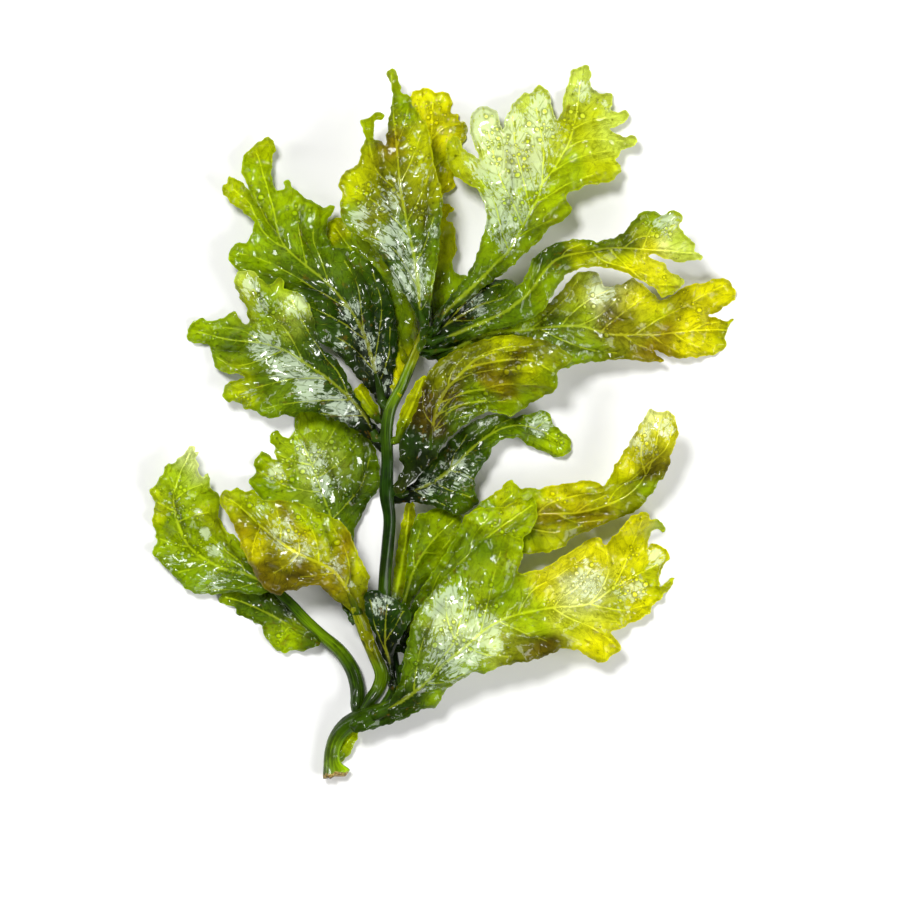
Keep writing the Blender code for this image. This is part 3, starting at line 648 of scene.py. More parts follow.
# %% Courses of the stems
# Each stem is (across, down, height in mm, radius in mm), from the end nearest the foot.
STEMS = {
    "stipe_foot": [
        (333, 776, 3.3, 3.2), (332, 768, 3.0, 2.8), (332, 752, 2.9, 2.4), (337, 737, 3.5, 2.5),
        (347, 725, 4.8, 2.7), (360, 717, 6.4, 2.6), (374, 712, 8.0, 2.4), (388, 707, 9.4, 2.0),
        (399, 701, 10.2, 1.3),
    ],
    "branch_left": [
        (358, 717, 5.6, 1.3), (357, 706, 4.8, 2.0), (358, 696, 3.6, 2.3), (357, 684, 3.1, 2.3),
        (352, 668, 3.8, 2.2), (340, 650, 4.8, 2.0), (322, 634, 5.8, 1.8), (306, 619, 6.6, 1.7),
        (292, 604, 7.0, 1.6), (281, 594, 7.2, 1.5), (273, 588, 7.2, 1.0),
    ],
    "branch_folded": [
        (364, 710, 6.4, 1.8), (371, 700, 6.2, 2.1), (379, 688, 5.8, 2.2), (382, 673, 6.8, 2.1),
        (375, 654, 9.0, 2.0), (366, 634, 11.2, 1.9), (359, 616, 12.8, 1.7), (354, 606, 14.4, 1.0),
    ],
    "stipe_main": [
        (384, 706, 8.6, 1.6), (392, 695, 7.4, 1.8), (396, 682, 5.0, 1.8), (393, 660, 3.8, 1.9),
        (388, 635, 5.4, 2.0), (384, 605, 8.0, 2.0), (385, 575, 10.2, 1.9), (388, 545, 11.8, 1.9),
        (390, 518, 12.8, 1.9), (387, 492, 13.8, 2.2), (388, 462, 15.0, 1.9), (387, 432, 16.2, 1.9),
        (391, 408, 17.4, 1.8), (402, 386, 18.8, 1.7), (412, 362, 20.2, 1.6), (419, 346, 21.6, 1.5),
        (424, 334, 23.0, 1.3), (426, 326, 23.6, 0.8),
    ],
    "twig_right": [
        (390, 494, 13.8, 1.4), (398, 487, 14.4, 1.4), (406, 478, 15.4, 1.5), (417, 470, 16.6, 1.4),
        (427, 458, 17.6, 1.2), (433, 445, 18.2, 1.0),
    ],
}
TUBE_STEP = 0.9 * MM


def course(drawn):
    """A stem's (x, y, z, radius) in metres."""
    table = np.asarray(drawn, float)
    return np.column_stack([placed(table), table[:, 2] * MM, table[:, 3] * MM])


COURSES = {name: smooth_line(course(drawn), TUBE_STEP) for name, drawn in STEMS.items()}
STEM_LINES = np.vstack(list(COURSES.values()))
longest = max(travelled(line[:, :3])[-1] for line in COURSES.values())
print("stems:", len(COURSES), "longest", round(longest / MM), "mm")

# %% [markdown]
# ## Tubes
#
# The stipe is tough and round, a little oval, and ridged where it twists. A tube has a ring of points at
# every step of its course, with faces between the rings and a blunt cap at each end. Two sine waves round
# the ring make its ridges, and turning them along the stem makes the twist.

# %% Tubes
TUBE_SIDES = 20
RIDGE = 0.07
# Radians of twist for each metre of stem.
TWIST = 95
OVAL = 0.92
# How far the caps stand out at the two ends, in radii.
CAP_SIZES = (0.3, 0.6)


def tube(line, seed=0.0):
    """(points, faces) of a closed, slightly ridged tube along (x, y, z, radius) points."""
    centre, radius = line[:, :3], line[:, 3]
    run = np.gradient(centre, axis=0)
    run /= np.linalg.norm(run, axis=1, keepdims=True)
    side = np.cross(run, (0, 0, 1.0))
    side /= np.linalg.norm(side, axis=1, keepdims=True)
    top = np.cross(side, run)
    travel = travelled(centre)
    rings = []
    for k in range(TUBE_SIDES):
        turn = 2 * math.pi * k / TUBE_SIDES
        ridged = 1 + RIDGE * np.sin(3 * turn + TWIST * travel + seed)
        ridged = ridged + RIDGE / 2 * np.sin(7 * turn - seed)
        out = math.cos(turn) * side + OVAL * math.sin(turn) * top
        rings.append(centre + out * (radius * ridged)[:, None])
    points = np.array(rings).transpose(1, 0, 2).reshape(-1, 3)
    faces = []
    for i in range(len(line) - 1):
        for k in range(TUBE_SIDES):
            j = (k + 1) % TUBE_SIDES
            a, b = i * TUBE_SIDES, (i + 1) * TUBE_SIDES
            faces.append([a + k, b + k, b + j, a + j])
    last = (len(line) - 1) * TUBE_SIDES
    near_cap = centre[:1] - run[:1] * radius[0] * CAP_SIZES[0]
    far_cap = centre[-1:] + run[-1:] * radius[-1] * CAP_SIZES[1]
    points = np.vstack([points, near_cap, far_cap])
    for k in range(TUBE_SIDES):
        j = (k + 1) % TUBE_SIDES
        faces.append([j, len(points) - 2, k])
        faces.append([last + k, len(points) - 1, last + j])
    return points, faces


print("points on the main stipe:", len(tube(COURSES["stipe_main"])[0]))

# %% [markdown]
# ## Stalks
#
# A blade joins its stem through a short stalk of its own. It is the same kind of tube: it starts inside
# the nearest stem, lies a little sunk in the blade, and thins out into the midrib.

# %% Stalks
# A stalk is (radius at the stem, length) in mm, where a blade's drawing gives no other.
STALK = (1.3, 9)
STALK_STEP = 0.5 * MM
STALK_SUNK = 0.3
STALK_TIP = 0.1


def stalk(midrib, middle, start_radius, length):
    """A tapering tube from the nearest stem out along the start of the midrib."""
    line = smooth_line(midrib, 0.8 * MM)
    line = line[travelled(line) < length * MM]
    on_blade = np.column_stack([line, middle(line)])
    gap = np.linalg.norm(STEM_LINES[:, :3] - on_blade[0], axis=1)
    root = STEM_LINES[gap.argmin()]
    path = np.vstack([root[:3], on_blade[1:]])
    path[1:, 2] -= STALK_SUNK * start_radius * MM
    taper = np.linspace(1, STALK_TIP, len(path)) ** 0.9 * start_radius * MM
    return tube(smooth_line(np.column_stack([path, taper]), STALK_STEP))


print("a stalk is", 2 * STALK[0], "mm thick and", STALK[1], "mm long")

# %% [markdown]
# ## Colours of the sprig
#
# Sea lettuce runs from lemon at the thin young tips to a green that is almost black where it is thick, and
# it turns ochre where it ages. The darkest pans, set near the stems where blades lie doubled, partly paint
# the shade there, and the pale pans partly paint the sheen of wet places. The colours are named as a
# painter's pans. Every blade is painted by placing a few of them, and a point takes the average of the
# pans, weighted by how near they are. Slow waves push the places about first, so the patches of colour get
# uneven borders.

# %% Paints
PAINTS = {
    "lemon": (0.89, 0.88, 0.0), "yellow": (0.88, 0.86, 0.0), "yellow_lime": (0.75, 0.79, 0.0),
    "lime": (0.65, 0.75, 0.0), "grass": (0.50, 0.62, 0.0), "leaf": (0.32, 0.43, 0.0),
    # deep and night are set near the stems, where they also paint the shade there.
    "forest": (0.17, 0.27, 0.0), "deep": (0.09, 0.19, 0.0), "night": (0.03, 0.07, 0.0),
    "olive": (0.45, 0.48, 0.0), "ochre": (0.52, 0.46, 0.0), "umber": (0.28, 0.23, 0.0),
    # The pale pans also paint the sheen where they are set on wet places.
    "pale_lime": (0.84, 0.91, 0.35), "pale": (0.92, 0.94, 0.62),
}
PAINT_CORE = 3.15 * MM
PAINT_FALLOFF = 1.8
PATCH_WAVES = (5, 8, 13, 21)
PATCH_PUSH = 0.07


def linear(colour):
    return [c / 12.92 if c <= 0.04045 else ((c + 0.055) / 1.055) ** 2.4 for c in colour]


def painted(points, pans):
    """The average of the placed pans, weighted by nearness, for each point."""
    total = np.zeros((len(points), 3))
    weight = np.zeros(len(points))
    for across, down, paint in pans:
        away = np.linalg.norm(points - placed((across, down)), axis=1)
        near = 1 / (away**2 + PAINT_CORE**2) ** PAINT_FALLOFF
        total += near[:, None] * linear(PAINTS[paint])
        weight += near
    return total / weight[:, None]


def wandering(points, rng):
    """The points pushed about by slow waves, so that patches of colour get uneven borders."""
    pushed = points.copy()
    for length in PATCH_WAVES:
        for k in (0, 1):
            turn = rng.uniform(0, math.pi)
            phase = points @ (math.cos(turn), math.sin(turn)) / (length * MM) + rng.random()
            pushed[:, k] += PATCH_PUSH * length * MM * np.sin(2 * math.pi * phase)
    return pushed


print("paints:", ", ".join(PAINTS))

# %% [markdown]
# ## Where water lies, and where the sheen is painted
#
# Water stays on the blades in thin films, most of all where they dip. Under a soft light such a film shines
# pale, and here that sheen is painted into the colour by the finish. Where the films lie can't be told from
# the shape, so they are listed one by one. Each is a round patch that fades outwards, and the finish gives
# it a ragged edge.

# %% Wet patches
WET_SHEEN_SPREAD = 1.15
# Each wet patch, which also places the painted sheen, is (across, down, radius, strength).
WET_SHEEN_PATCHES = (
    (583, 90, 13, 0.8), (540, 105, 14, 0.8), (605, 105, 10, 0.5), (495, 128, 30, 1.2),
    (512, 165, 34, 1.2), (500, 210, 28, 1.0), (535, 130, 26, 0.9), (505, 245, 16, 0.7),
    (392, 200, 26, 0.55), (395, 240, 26, 0.75), (412, 280, 22, 0.8), (362, 220, 18, 0.6),
    (330, 285, 16, 0.4), (350, 312, 18, 0.55), (366, 340, 18, 0.6), (374, 366, 16, 0.6),
    (340, 345, 14, 0.55), (388, 385, 12, 0.6), (198, 513, 8, 0.8), (205, 533, 8, 0.8),
    (216, 551, 9, 0.75), (172, 560, 20, 0.52), (215, 580, 22, 0.5), (284, 532, 24, 0.62),
    (300, 552, 20, 0.58), (262, 512, 14, 0.45), (332, 565, 18, 0.5), (250, 288, 11, 0.8),
    (168, 505, 16, 0.4), (240, 566, 16, 0.4), (345, 480, 26, 0.45), (410, 130, 20, 0.38),
    (420, 170, 22, 0.42), (430, 230, 18, 0.42), (470, 375, 24, 0.35), (560, 300, 18, 0.38),
    (575, 345, 20, 0.38), (515, 500, 16, 0.35), (600, 500, 20, 0.35), (620, 625, 14, 0.35),
    (350, 585, 12, 0.4), (470, 560, 20, 0.3), (266, 345, 15, 1.0), (286, 366, 17, 1.0),
    (297, 306, 12, 1.0), (310, 388, 17, 1.0), (335, 404, 16, 0.9), (318, 345, 16, 0.5),
    (350, 412, 14, 0.8), (262, 305, 12, 0.6), (250, 392, 16, 0.5), (312, 462, 15, 0.95),
    (322, 486, 12, 1.0), (275, 474, 11, 0.95), (300, 446, 12, 0.6), (180, 500, 20, 0.5),
    (190, 545, 20, 0.4), (640, 440, 20, 0.7), (664, 428, 10, 1.0), (450, 610, 26, 1.0),
    (455, 650, 28, 1.0), (480, 630, 26, 0.9), (430, 680, 18, 0.6), (588, 582, 20, 0.9),
    (625, 590, 22, 0.6), (638, 588, 12, 0.9), (656, 556, 9, 1.0), (665, 225, 12, 1.0),
    (600, 290, 14, 1.0), (430, 484, 20, 0.55), (458, 470, 20, 0.6), (480, 420, 20, 0.5),
    (540, 425, 12, 0.8), (378, 604, 13, 0.62), (390, 595, 12, 0.62), (480, 310, 20, 0.5),
    (560, 345, 26, 0.4), (430, 430, 22, 0.4), (285, 610, 16, 0.4),
)


def wetness_and_sheen(points):
    wet = np.zeros(len(points))
    for across, down, radius, strength in WET_SHEEN_PATCHES:
        reach = radius * WET_SHEEN_SPREAD * UNIT
        away = np.linalg.norm(points - placed((across, down)), axis=1) / reach
        wet = np.maximum(wet, strength * np.exp(-(away**2)))
    return wet


print("wet patches:", len(WET_SHEEN_PATCHES))

# %% [markdown]
# ## The blades, one by one
#
# Each entry draws what makes that blade itself: its veins, with the midrib first, the pans of colour, and
# the places where blisters sit close together, as (across, down, radius, count). The places are in drawn
# units. Some have more: folds are valleys, a neck narrows the foot of a blade down to its stalk, a rim
# draws the whole outline more finely than the solid has it, and a stalk gives its own radius and length.
#
# The first ones fan out from the upper half of the main stipe, and their tips are lobed.

# %% Upper blades
BLADES = {}
BLADES["blade_top_back"] = {
    "veins": [
        [(427, 328), (431, 300), (433, 270), (432, 230), (431, 190), (431, 150), (433, 105)],
        [(432, 200), (441, 190), (450, 182)], [(431, 170), (444, 158), (458, 152)],
        [(431, 140), (444, 128), (458, 124)], [(431, 190), (420, 172), (412, 150)],
    ],
    "pans": [
        (430, 100, "lemon"), (440, 130, "yellow"), (455, 140, "lemon"), (430, 160, "yellow_lime"),
        (445, 200, "yellow"), (448, 240, "yellow_lime"), (455, 280, "grass"), (432, 310, "leaf"),
    ],
    "blisters": [(435, 110, 22, 20)],
}
BLADES["blade_upper_left_back"] = {
    "rim": [
        (399, 402), (392, 392), (386, 372), (376, 345), (360, 316), (345, 288), (334, 262), (328, 243),
        (327, 228), (332, 220), (341, 218), (352, 224), (368, 234), (384, 250), (398, 270), (410, 296),
        (417, 325), (418, 345), (412, 362), (405, 384),
    ],
    "veins": [[(405, 361), (392, 322), (368, 275), (336, 228)], [(385, 305), (372, 296), (358, 288)]],
    "pans": [
        (336, 228, "yellow_lime"), (350, 250, "grass"), (380, 300, "leaf"), (400, 330, "leaf"),
        (403, 355, "yellow_lime"), (400, 375, "lemon"), (396, 392, "yellow_lime"),
    ],
    "blisters": [],
}
BLADES["blade_top_centre"] = {
    "folds": [
        [(372, 122), (378, 150), (384, 190), (396, 240), (412, 290)],
        [(392, 98), (388, 130), (388, 165)], [(430, 160), (428, 200), (424, 250), (424, 300)],
    ],
    "neck": [(420, 327), (420, 338), (417, 350), (422, 352), (426, 342), (429, 328)],
    "veins": [
        [(425, 328), (420, 310), (419, 290), (414, 255), (406, 220), (401, 190), (396, 140),
         (393, 100), (392, 77)], [(419, 290), (408, 270), (392, 250), (372, 238)],
        [(411, 240), (396, 222), (376, 205), (356, 192)],
        [(404, 205), (392, 188), (376, 172), (370, 150)], [(416, 265), (426, 245), (434, 220)],
        [(407, 225), (418, 205), (428, 180)], [(401, 185), (411, 165), (420, 140)],
        [(397, 150), (404, 130), (408, 112)], [(421, 312), (429, 298), (433, 282)],
    ],
    "pans": [
        (392, 80, "lime"), (400, 110, "grass"), (420, 130, "yellow_lime"), (436, 175, "yellow_lime"),
        (388, 150, "ochre"), (392, 190, "olive"), (372, 130, "lime"), (350, 190, "yellow_lime"),
        (352, 215, "grass"), (375, 215, "olive"), (415, 200, "olive"), (437, 230, "leaf"),
        (400, 240, "leaf"), (420, 270, "leaf"), (388, 265, "forest"), (408, 295, "forest"),
        (425, 310, "deep"), (436, 280, "grass"),
    ],
    "blisters": [(400, 130, 18, 16), (415, 160, 20, 22), (375, 200, 24, 20), (425, 215, 14, 10)],
}
BLADES["blade_top_right"] = {
    "folds": [
        [(508, 140), (512, 180), (506, 215), (492, 250)],
        [(600, 186), (575, 196), (552, 216), (525, 246)],
    ],
    "veins": [
        [(433, 333), (446, 313), (460, 299), (480, 281), (495, 265), (508, 253), (516, 240),
         (522, 228), (530, 213), (537, 200), (541, 186), (552, 172), (560, 158), (567, 146),
         (575, 120), (580, 85)], [(552, 173), (568, 163), (580, 158), (605, 152)],
        [(541, 188), (542, 170), (543, 150), (536, 110)],
        [(537, 203), (550, 196), (566, 186), (590, 176)],
        [(522, 228), (512, 205), (500, 180), (488, 135)],
        [(508, 253), (500, 228), (494, 205), (480, 182)],
        [(563, 152), (578, 143), (600, 140), (622, 142)], [(516, 240), (532, 230), (550, 222)],
        [(530, 213), (524, 185), (516, 155), (512, 118)], [(573, 130), (588, 122), (606, 118)],
    ],
    "pans": [
        (583, 78, "pale_lime"), (578, 100, "pale_lime"), (595, 112, "yellow_lime"),
        (615, 118, "pale_lime"), (622, 142, "pale_lime"), (600, 168, "yellow_lime"), (575, 180, "lime"),
        (570, 130, "yellow_lime"), (545, 105, "pale_lime"), (520, 110, "pale_lime"),
        (487, 120, "pale_lime"), (495, 160, "pale_lime"), (520, 160, "yellow_lime"),
        (460, 160, "yellow_lime"), (485, 190, "lime"), (520, 200, "lime"), (550, 205, "lime"),
        (530, 235, "grass"), (500, 235, "grass"), (505, 262, "grass"), (480, 275, "leaf"),
        (465, 292, "leaf"), (445, 315, "forest"), (435, 328, "deep"),
    ],
    "blisters": [
        (495, 128, 22, 34), (512, 160, 30, 60), (540, 130, 24, 26), (520, 205, 28, 34),
        (575, 120, 20, 12),
    ],
}
BLADES["blade_upper_left"] = {
    "folds": [
        [(300, 206), (304, 235), (316, 262)], [(244, 184), (262, 212), (285, 246)],
        [(240, 262), (280, 280), (330, 300), (360, 345)], [(345, 255), (368, 290), (378, 340)],
    ],
    "neck": [(379, 405), (381, 416), (383, 428), (387, 438), (391, 428), (391, 414), (390, 398)],
    "stalk": (1.7, 16),
    "veins": [
        [(384, 405), (379, 384), (373, 362), (365, 335), (350, 310), (330, 286), (305, 265),
         (288, 250), (280, 236), (275, 215), (268, 190), (258, 155)],
        [(287, 249), (275, 243), (262, 230), (250, 205), (234, 190)],
        [(280, 235), (268, 224), (262, 212), (255, 195)],
        [(307, 266), (302, 245), (298, 222), (300, 206)],
        [(330, 286), (322, 262), (314, 240), (316, 214)],
        [(350, 310), (320, 292), (296, 277), (262, 260), (240, 254)],
        [(365, 335), (362, 310), (358, 285), (345, 262)],
        [(366, 340), (340, 322), (312, 308), (285, 298)],
        [(374, 366), (380, 335), (382, 305), (374, 275)], [(376, 372), (358, 352), (338, 338)],
        [(379, 386), (388, 360), (391, 330)],
    ],
    "pans": [
        (262, 150, "yellow_lime"), (258, 170, "lime"), (232, 190, "yellow_lime"), (262, 200, "lime"),
        (290, 200, "lime"), (325, 210, "lime"), (300, 230, "grass"), (268, 232, "grass"),
        (236, 256, "lime"), (255, 265, "grass"), (290, 262, "leaf"), (320, 245, "leaf"),
        (345, 262, "leaf"), (285, 290, "leaf"), (315, 290, "forest"), (340, 290, "forest"),
        (368, 285, "forest"), (350, 320, "deep"), (375, 310, "deep"), (330, 335, "forest"),
        (372, 350, "night"), (388, 350, "deep"), (382, 385, "night"),
    ],
    "blisters": [(300, 215, 20, 8), (250, 200, 20, 8)],
}
BLADES["blade_left"] = {
    "folds": [
        [(250, 276), (258, 292), (268, 312), (290, 330)], [(200, 345), (225, 350), (255, 352)],
        [(240, 378), (275, 372), (315, 385)],
    ],
    "neck": [(366, 437), (376, 447), (385, 456), (389, 448), (387, 436), (379, 428)],
    "stalk": (1.6, 14),
    "veins": [
        [(378, 441), (366, 418), (350, 398), (330, 380), (305, 363), (285, 350), (262, 343),
         (230, 340), (198, 332)], [(350, 398), (340, 375), (325, 356), (308, 330), (292, 300)],
        [(330, 380), (312, 378), (280, 382), (240, 392)],
        [(305, 363), (290, 335), (270, 312), (254, 290)],
        [(285, 350), (262, 360), (235, 366), (218, 358)], [(262, 343), (245, 332), (225, 328)],
        [(352, 400), (330, 400), (300, 402), (268, 408)], [(364, 416), (345, 416), (322, 414)],
    ],
    "pans": [
        (196, 332, "lime"), (215, 335, "grass"), (212, 355, "grass"), (235, 345, "leaf"),
        (244, 280, "pale_lime"), (250, 295, "yellow_lime"), (265, 305, "grass"), (290, 290, "lime"),
        (298, 307, "pale_lime"), (310, 332, "forest"), (326, 352, "deep"), (240, 392, "yellow_lime"),
        (232, 402, "lime"), (265, 408, "grass"), (262, 385, "leaf"), (270, 350, "leaf"),
        (300, 350, "leaf"), (300, 395, "leaf"), (335, 370, "forest"), (325, 400, "forest"),
        (355, 405, "deep"), (372, 432, "night"),
    ],
    "blisters": [(260, 310, 22, 18), (285, 330, 24, 24), (240, 395, 14, 8), (215, 335, 14, 6)],
}
print("upper blades:", len(BLADES))

# %% [markdown]
# ## The blades on the right
#
# These are the longest ones. They reach far out from the stipe, sag along folds that run their whole
# length, and end in notched, yellow tips. Their margins wander more than those of the solids, so some of
# them have a rim of their own here.

# %% Right blades
BLADES["blade_right_upper"] = {
    "folds": [[(541, 258), (534, 280), (526, 308)], [(548, 254), (590, 254), (624, 246)]],
    "rim": [
        (427, 347), (430, 340), (444, 335), (462, 327), (480, 318), (498, 306), (510, 294), (519, 286),
        (526, 276), (529, 267), (534, 259), (543, 252), (551, 247), (561, 244), (572, 242), (584, 242),
        (596, 244), (608, 241), (619, 237), (626, 230), (633, 221), (641, 214), (651, 213), (661, 217),
        (668, 213), (676, 213), (681, 220), (678, 227), (681, 234), (688, 240), (693, 247), (694, 253),
        (701, 258), (698, 262), (690, 261), (681, 264), (671, 262), (662, 260), (653, 256), (646, 258),
        (655, 262), (664, 266), (668, 274), (678, 277), (682, 283), (678, 290), (670, 295), (661, 299),
        (654, 291), (645, 285), (634, 280), (622, 274), (606, 270), (592, 269), (578, 271), (565, 277),
        (556, 289), (549, 301), (542, 312), (530, 320), (514, 326), (494, 331), (470, 338), (450, 344),
    ],
    "veins": [
        [(429, 344), (450, 337), (470, 329), (505, 313), (530, 292), (545, 272), (560, 260),
         (590, 253), (607, 250), (640, 251), (690, 254)],
        [(607, 250), (618, 262), (645, 284), (668, 286)],
        [(622, 250), (635, 240), (655, 236), (672, 228)],
        [(590, 253), (600, 262), (625, 270), (645, 276)], [(560, 260), (566, 252), (578, 247)],
        [(640, 251), (648, 232), (660, 220)],
    ],
    "pans": [
        (432, 342, "deep"), (460, 330, "forest"), (490, 318, "leaf"), (515, 305, "leaf"),
        (538, 285, "grass"), (545, 262, "forest"), (560, 250, "forest"), (580, 262, "yellow_lime"),
        (585, 246, "leaf"), (605, 244, "leaf"), (622, 238, "forest"), (636, 222, "leaf"),
        (655, 217, "grass"), (655, 232, "yellow_lime"), (668, 246, "pale"), (684, 240, "lime"),
        (690, 256, "pale_lime"), (648, 250, "yellow"), (612, 258, "yellow_lime"), (625, 266, "yellow"),
        (655, 275, "yellow"), (668, 290, "yellow_lime"),
    ],
    "blisters": [(655, 230, 20, 14), (660, 280, 16, 10)],
}
BLADES["blade_right_small"] = {
    "rim": [
        (427, 342), (429, 330), (436, 317), (444, 306), (455, 298), (468, 290), (483, 284), (497, 281),
        (508, 281), (516, 285), (521, 294), (519, 304), (523, 315), (522, 325), (512, 328), (498, 329),
        (484, 331), (466, 336), (450, 339), (438, 343),
    ],
    "veins": [
        [(430, 340), (444, 328), (462, 316), (484, 305), (508, 297)],
        [(444, 328), (458, 311), (478, 294), (498, 286)],
        [(452, 322), (474, 321), (496, 319), (516, 316)],
    ],
    "pans": [
        (433, 337, "night"), (455, 308, "night"), (478, 296, "deep"), (470, 325, "forest"),
        (500, 290, "forest"), (508, 312, "leaf"), (516, 300, "grass"),
    ],
    "blisters": [],
}
BLADES["blade_right"] = {
    "folds": [
        [(604, 303), (618, 318), (634, 324)], [(460, 352), (540, 350), (640, 352)],
        [(540, 310), (560, 318), (590, 312)],
    ],
    "veins": [
        [(425, 354), (440, 351), (455, 349), (475, 340), (500, 333), (530, 330), (560, 327),
         (580, 327), (595, 331), (612, 335), (650, 335), (672, 333), (690, 331), (708, 330),
         (725, 330)], [(635, 334), (655, 321), (675, 311), (705, 294), (722, 286)],
        [(672, 333), (684, 341), (700, 347)], [(690, 331), (702, 325), (718, 322)],
        [(650, 335), (662, 344), (678, 352)], [(620, 334), (634, 344), (645, 348)],
        [(600, 333), (616, 318), (635, 303), (650, 290)],
        [(560, 327), (575, 310), (592, 298), (606, 292)],
        [(530, 330), (545, 318), (562, 302), (576, 282)],
        [(540, 330), (560, 340), (590, 350), (615, 354)],
        [(490, 336), (512, 344), (540, 356), (556, 364)], [(575, 327), (596, 318), (614, 302)],
    ],
    "pans": [
        (430, 352, "deep"), (455, 348, "forest"), (480, 345, "leaf"), (500, 336, "grass"),
        (530, 322, "grass"), (555, 305, "olive"), (575, 295, "yellow_lime"), (585, 283, "lime"),
        (600, 286, "pale"), (597, 298, "pale"), (575, 312, "lime"), (609, 314, "umber"),
        (622, 324, "ochre"), (604, 332, "olive"), (560, 330, "leaf"), (545, 352, "olive"),
        (590, 345, "grass"), (625, 325, "olive"), (650, 312, "yellow_lime"), (640, 294, "lemon"),
        (665, 330, "ochre"), (700, 300, "yellow"), (725, 290, "lemon"), (725, 310, "umber"),
        (700, 330, "yellow"), (728, 334, "yellow_lime"), (690, 348, "yellow"), (655, 352, "ochre"),
        (620, 356, "olive"), (575, 358, "grass"),
    ],
    "blisters": [(600, 315, 26, 16), (540, 325, 24, 14), (690, 310, 26, 14)],
}
BLADES["blade_right_lower"] = {
    "folds": [
        [(452, 398), (474, 396), (488, 404)], [(470, 392), (500, 396), (530, 392)],
        [(440, 430), (455, 395), (490, 370), (540, 362)],
        [(414, 450), (418, 415), (432, 382), (458, 360), (492, 345)],
        [(424, 456), (430, 424), (444, 394), (474, 374), (515, 362)],
        [(446, 432), (462, 412), (490, 402), (516, 398)], [(438, 446), (448, 426), (468, 408)],
        [(500, 352), (518, 354), (536, 350)], [(486, 378), (506, 378), (526, 372)],
    ],
    "neck": [(404, 468), (398, 478), (394, 490), (400, 494), (410, 484), (422, 472)],
    "veins": [
        [(430, 452), (433, 425), (440, 398), (455, 380), (470, 368), (500, 361), (530, 361),
         (548, 370)], [(438, 404), (462, 394), (485, 388), (505, 384), (535, 384)],
        [(436, 412), (450, 386), (472, 374), (500, 370), (530, 372)],
        [(442, 394), (462, 372), (486, 356), (515, 350)],
        [(434, 420), (450, 400), (474, 390), (502, 392)],
        [(433, 430), (446, 414), (464, 404), (486, 400)],
        [(435, 416), (455, 406), (480, 402), (505, 402)],
        [(455, 380), (475, 360), (500, 349), (530, 346)], [(447, 388), (452, 372), (466, 356)],
        [(432, 432), (448, 422), (470, 415)], [(433, 425), (424, 412), (424, 392)],
    ],
    "pans": [
        (425, 460, "night"), (412, 445, "deep"), (430, 420, "umber"), (425, 395, "umber"),
        (440, 370, "olive"), (470, 352, "olive"), (500, 345, "yellow_lime"), (540, 350, "olive"),
        (555, 380, "grass"), (520, 362, "umber"), (490, 372, "ochre"), (465, 380, "olive"),
        (535, 372, "yellow_lime"), (478, 398, "grass"), (520, 395, "grass"), (500, 408, "grass"),
        (455, 392, "umber"), (460, 420, "leaf"), (440, 440, "forest"), (505, 385, "ochre"),
    ],
    "blisters": [(520, 360, 26, 14), (480, 405, 16, 10)],
}
BLADES["blade_dark_right"] = {
    "folds": [
        [(420, 490), (450, 478), (470, 462)], [(440, 470), (462, 446), (490, 430)],
        [(520, 438), (540, 430), (560, 428)],
    ],
    "neck": [(402, 489), (392, 490), (388, 498), (396, 504), (408, 502)],
    "veins": [
        [(399, 495), (414, 490), (432, 482), (450, 470), (468, 452), (490, 435), (512, 426),
         (535, 428), (562, 443)], [(432, 482), (450, 490), (468, 496)],
        [(450, 470), (464, 474), (476, 480)], [(414, 490), (428, 497), (446, 506)],
        [(450, 470), (456, 452), (466, 436)], [(490, 435), (500, 424), (512, 419)],
        [(535, 428), (546, 420), (552, 418)],
    ],
    "pans": [
        (405, 495, "night"), (430, 480, "deep"), (450, 495, "forest"), (465, 505, "leaf"),
        (460, 450, "forest"), (475, 470, "forest"), (490, 430, "leaf"), (515, 424, "leaf"),
        (540, 418, "grass"), (548, 436, "lime"), (562, 448, "lime"), (530, 432, "leaf"),
    ],
    "blisters": [(440, 495, 24, 18), (555, 440, 14, 8)],
}
BLADES["blade_long_right"] = {
    "folds": [
        [(603, 487), (632, 480), (667, 464)], [(535, 526), (580, 516), (630, 508)],
        [(560, 490), (590, 494), (615, 488)],
    ],
    "veins": [
        [(403, 669), (409, 655), (418, 635), (430, 614), (442, 592), (456, 570), (472, 548),
         (490, 530), (512, 518), (540, 514), (575, 512), (605, 505), (628, 494), (645, 475),
         (653, 450), (658, 420)], [(535, 514), (552, 502), (575, 496), (600, 492)],
        [(512, 518), (530, 528), (556, 532), (580, 526)],
        [(605, 505), (616, 490), (634, 476), (650, 460)], [(490, 530), (497, 510), (512, 494)],
        [(556, 513), (575, 522), (600, 520)], [(645, 475), (640, 455), (643, 430)],
        [(650, 462), (664, 448), (670, 430)], [(575, 512), (590, 502), (604, 496)],
    ],
    "pans": [
        (405, 665, "forest"), (412, 630, "forest"), (440, 580, "leaf"), (465, 540, "leaf"),
        (485, 510, "grass"), (505, 490, "yellow_lime"), (525, 494, "lime"), (550, 495, "yellow"),
        (545, 520, "ochre"), (525, 535, "leaf"), (545, 548, "yellow_lime"), (580, 490, "lemon"),
        (590, 508, "ochre"), (575, 530, "olive"), (610, 495, "yellow_lime"), (620, 510, "olive"),
        (640, 495, "olive"), (625, 462, "yellow"), (640, 440, "yellow"), (655, 418, "pale"),
        (665, 440, "yellow"), (655, 465, "umber"), (668, 425, "lemon"), (648, 485, "grass"),
    ],
    "blisters": [(560, 500, 24, 12), (650, 450, 18, 14)],
}
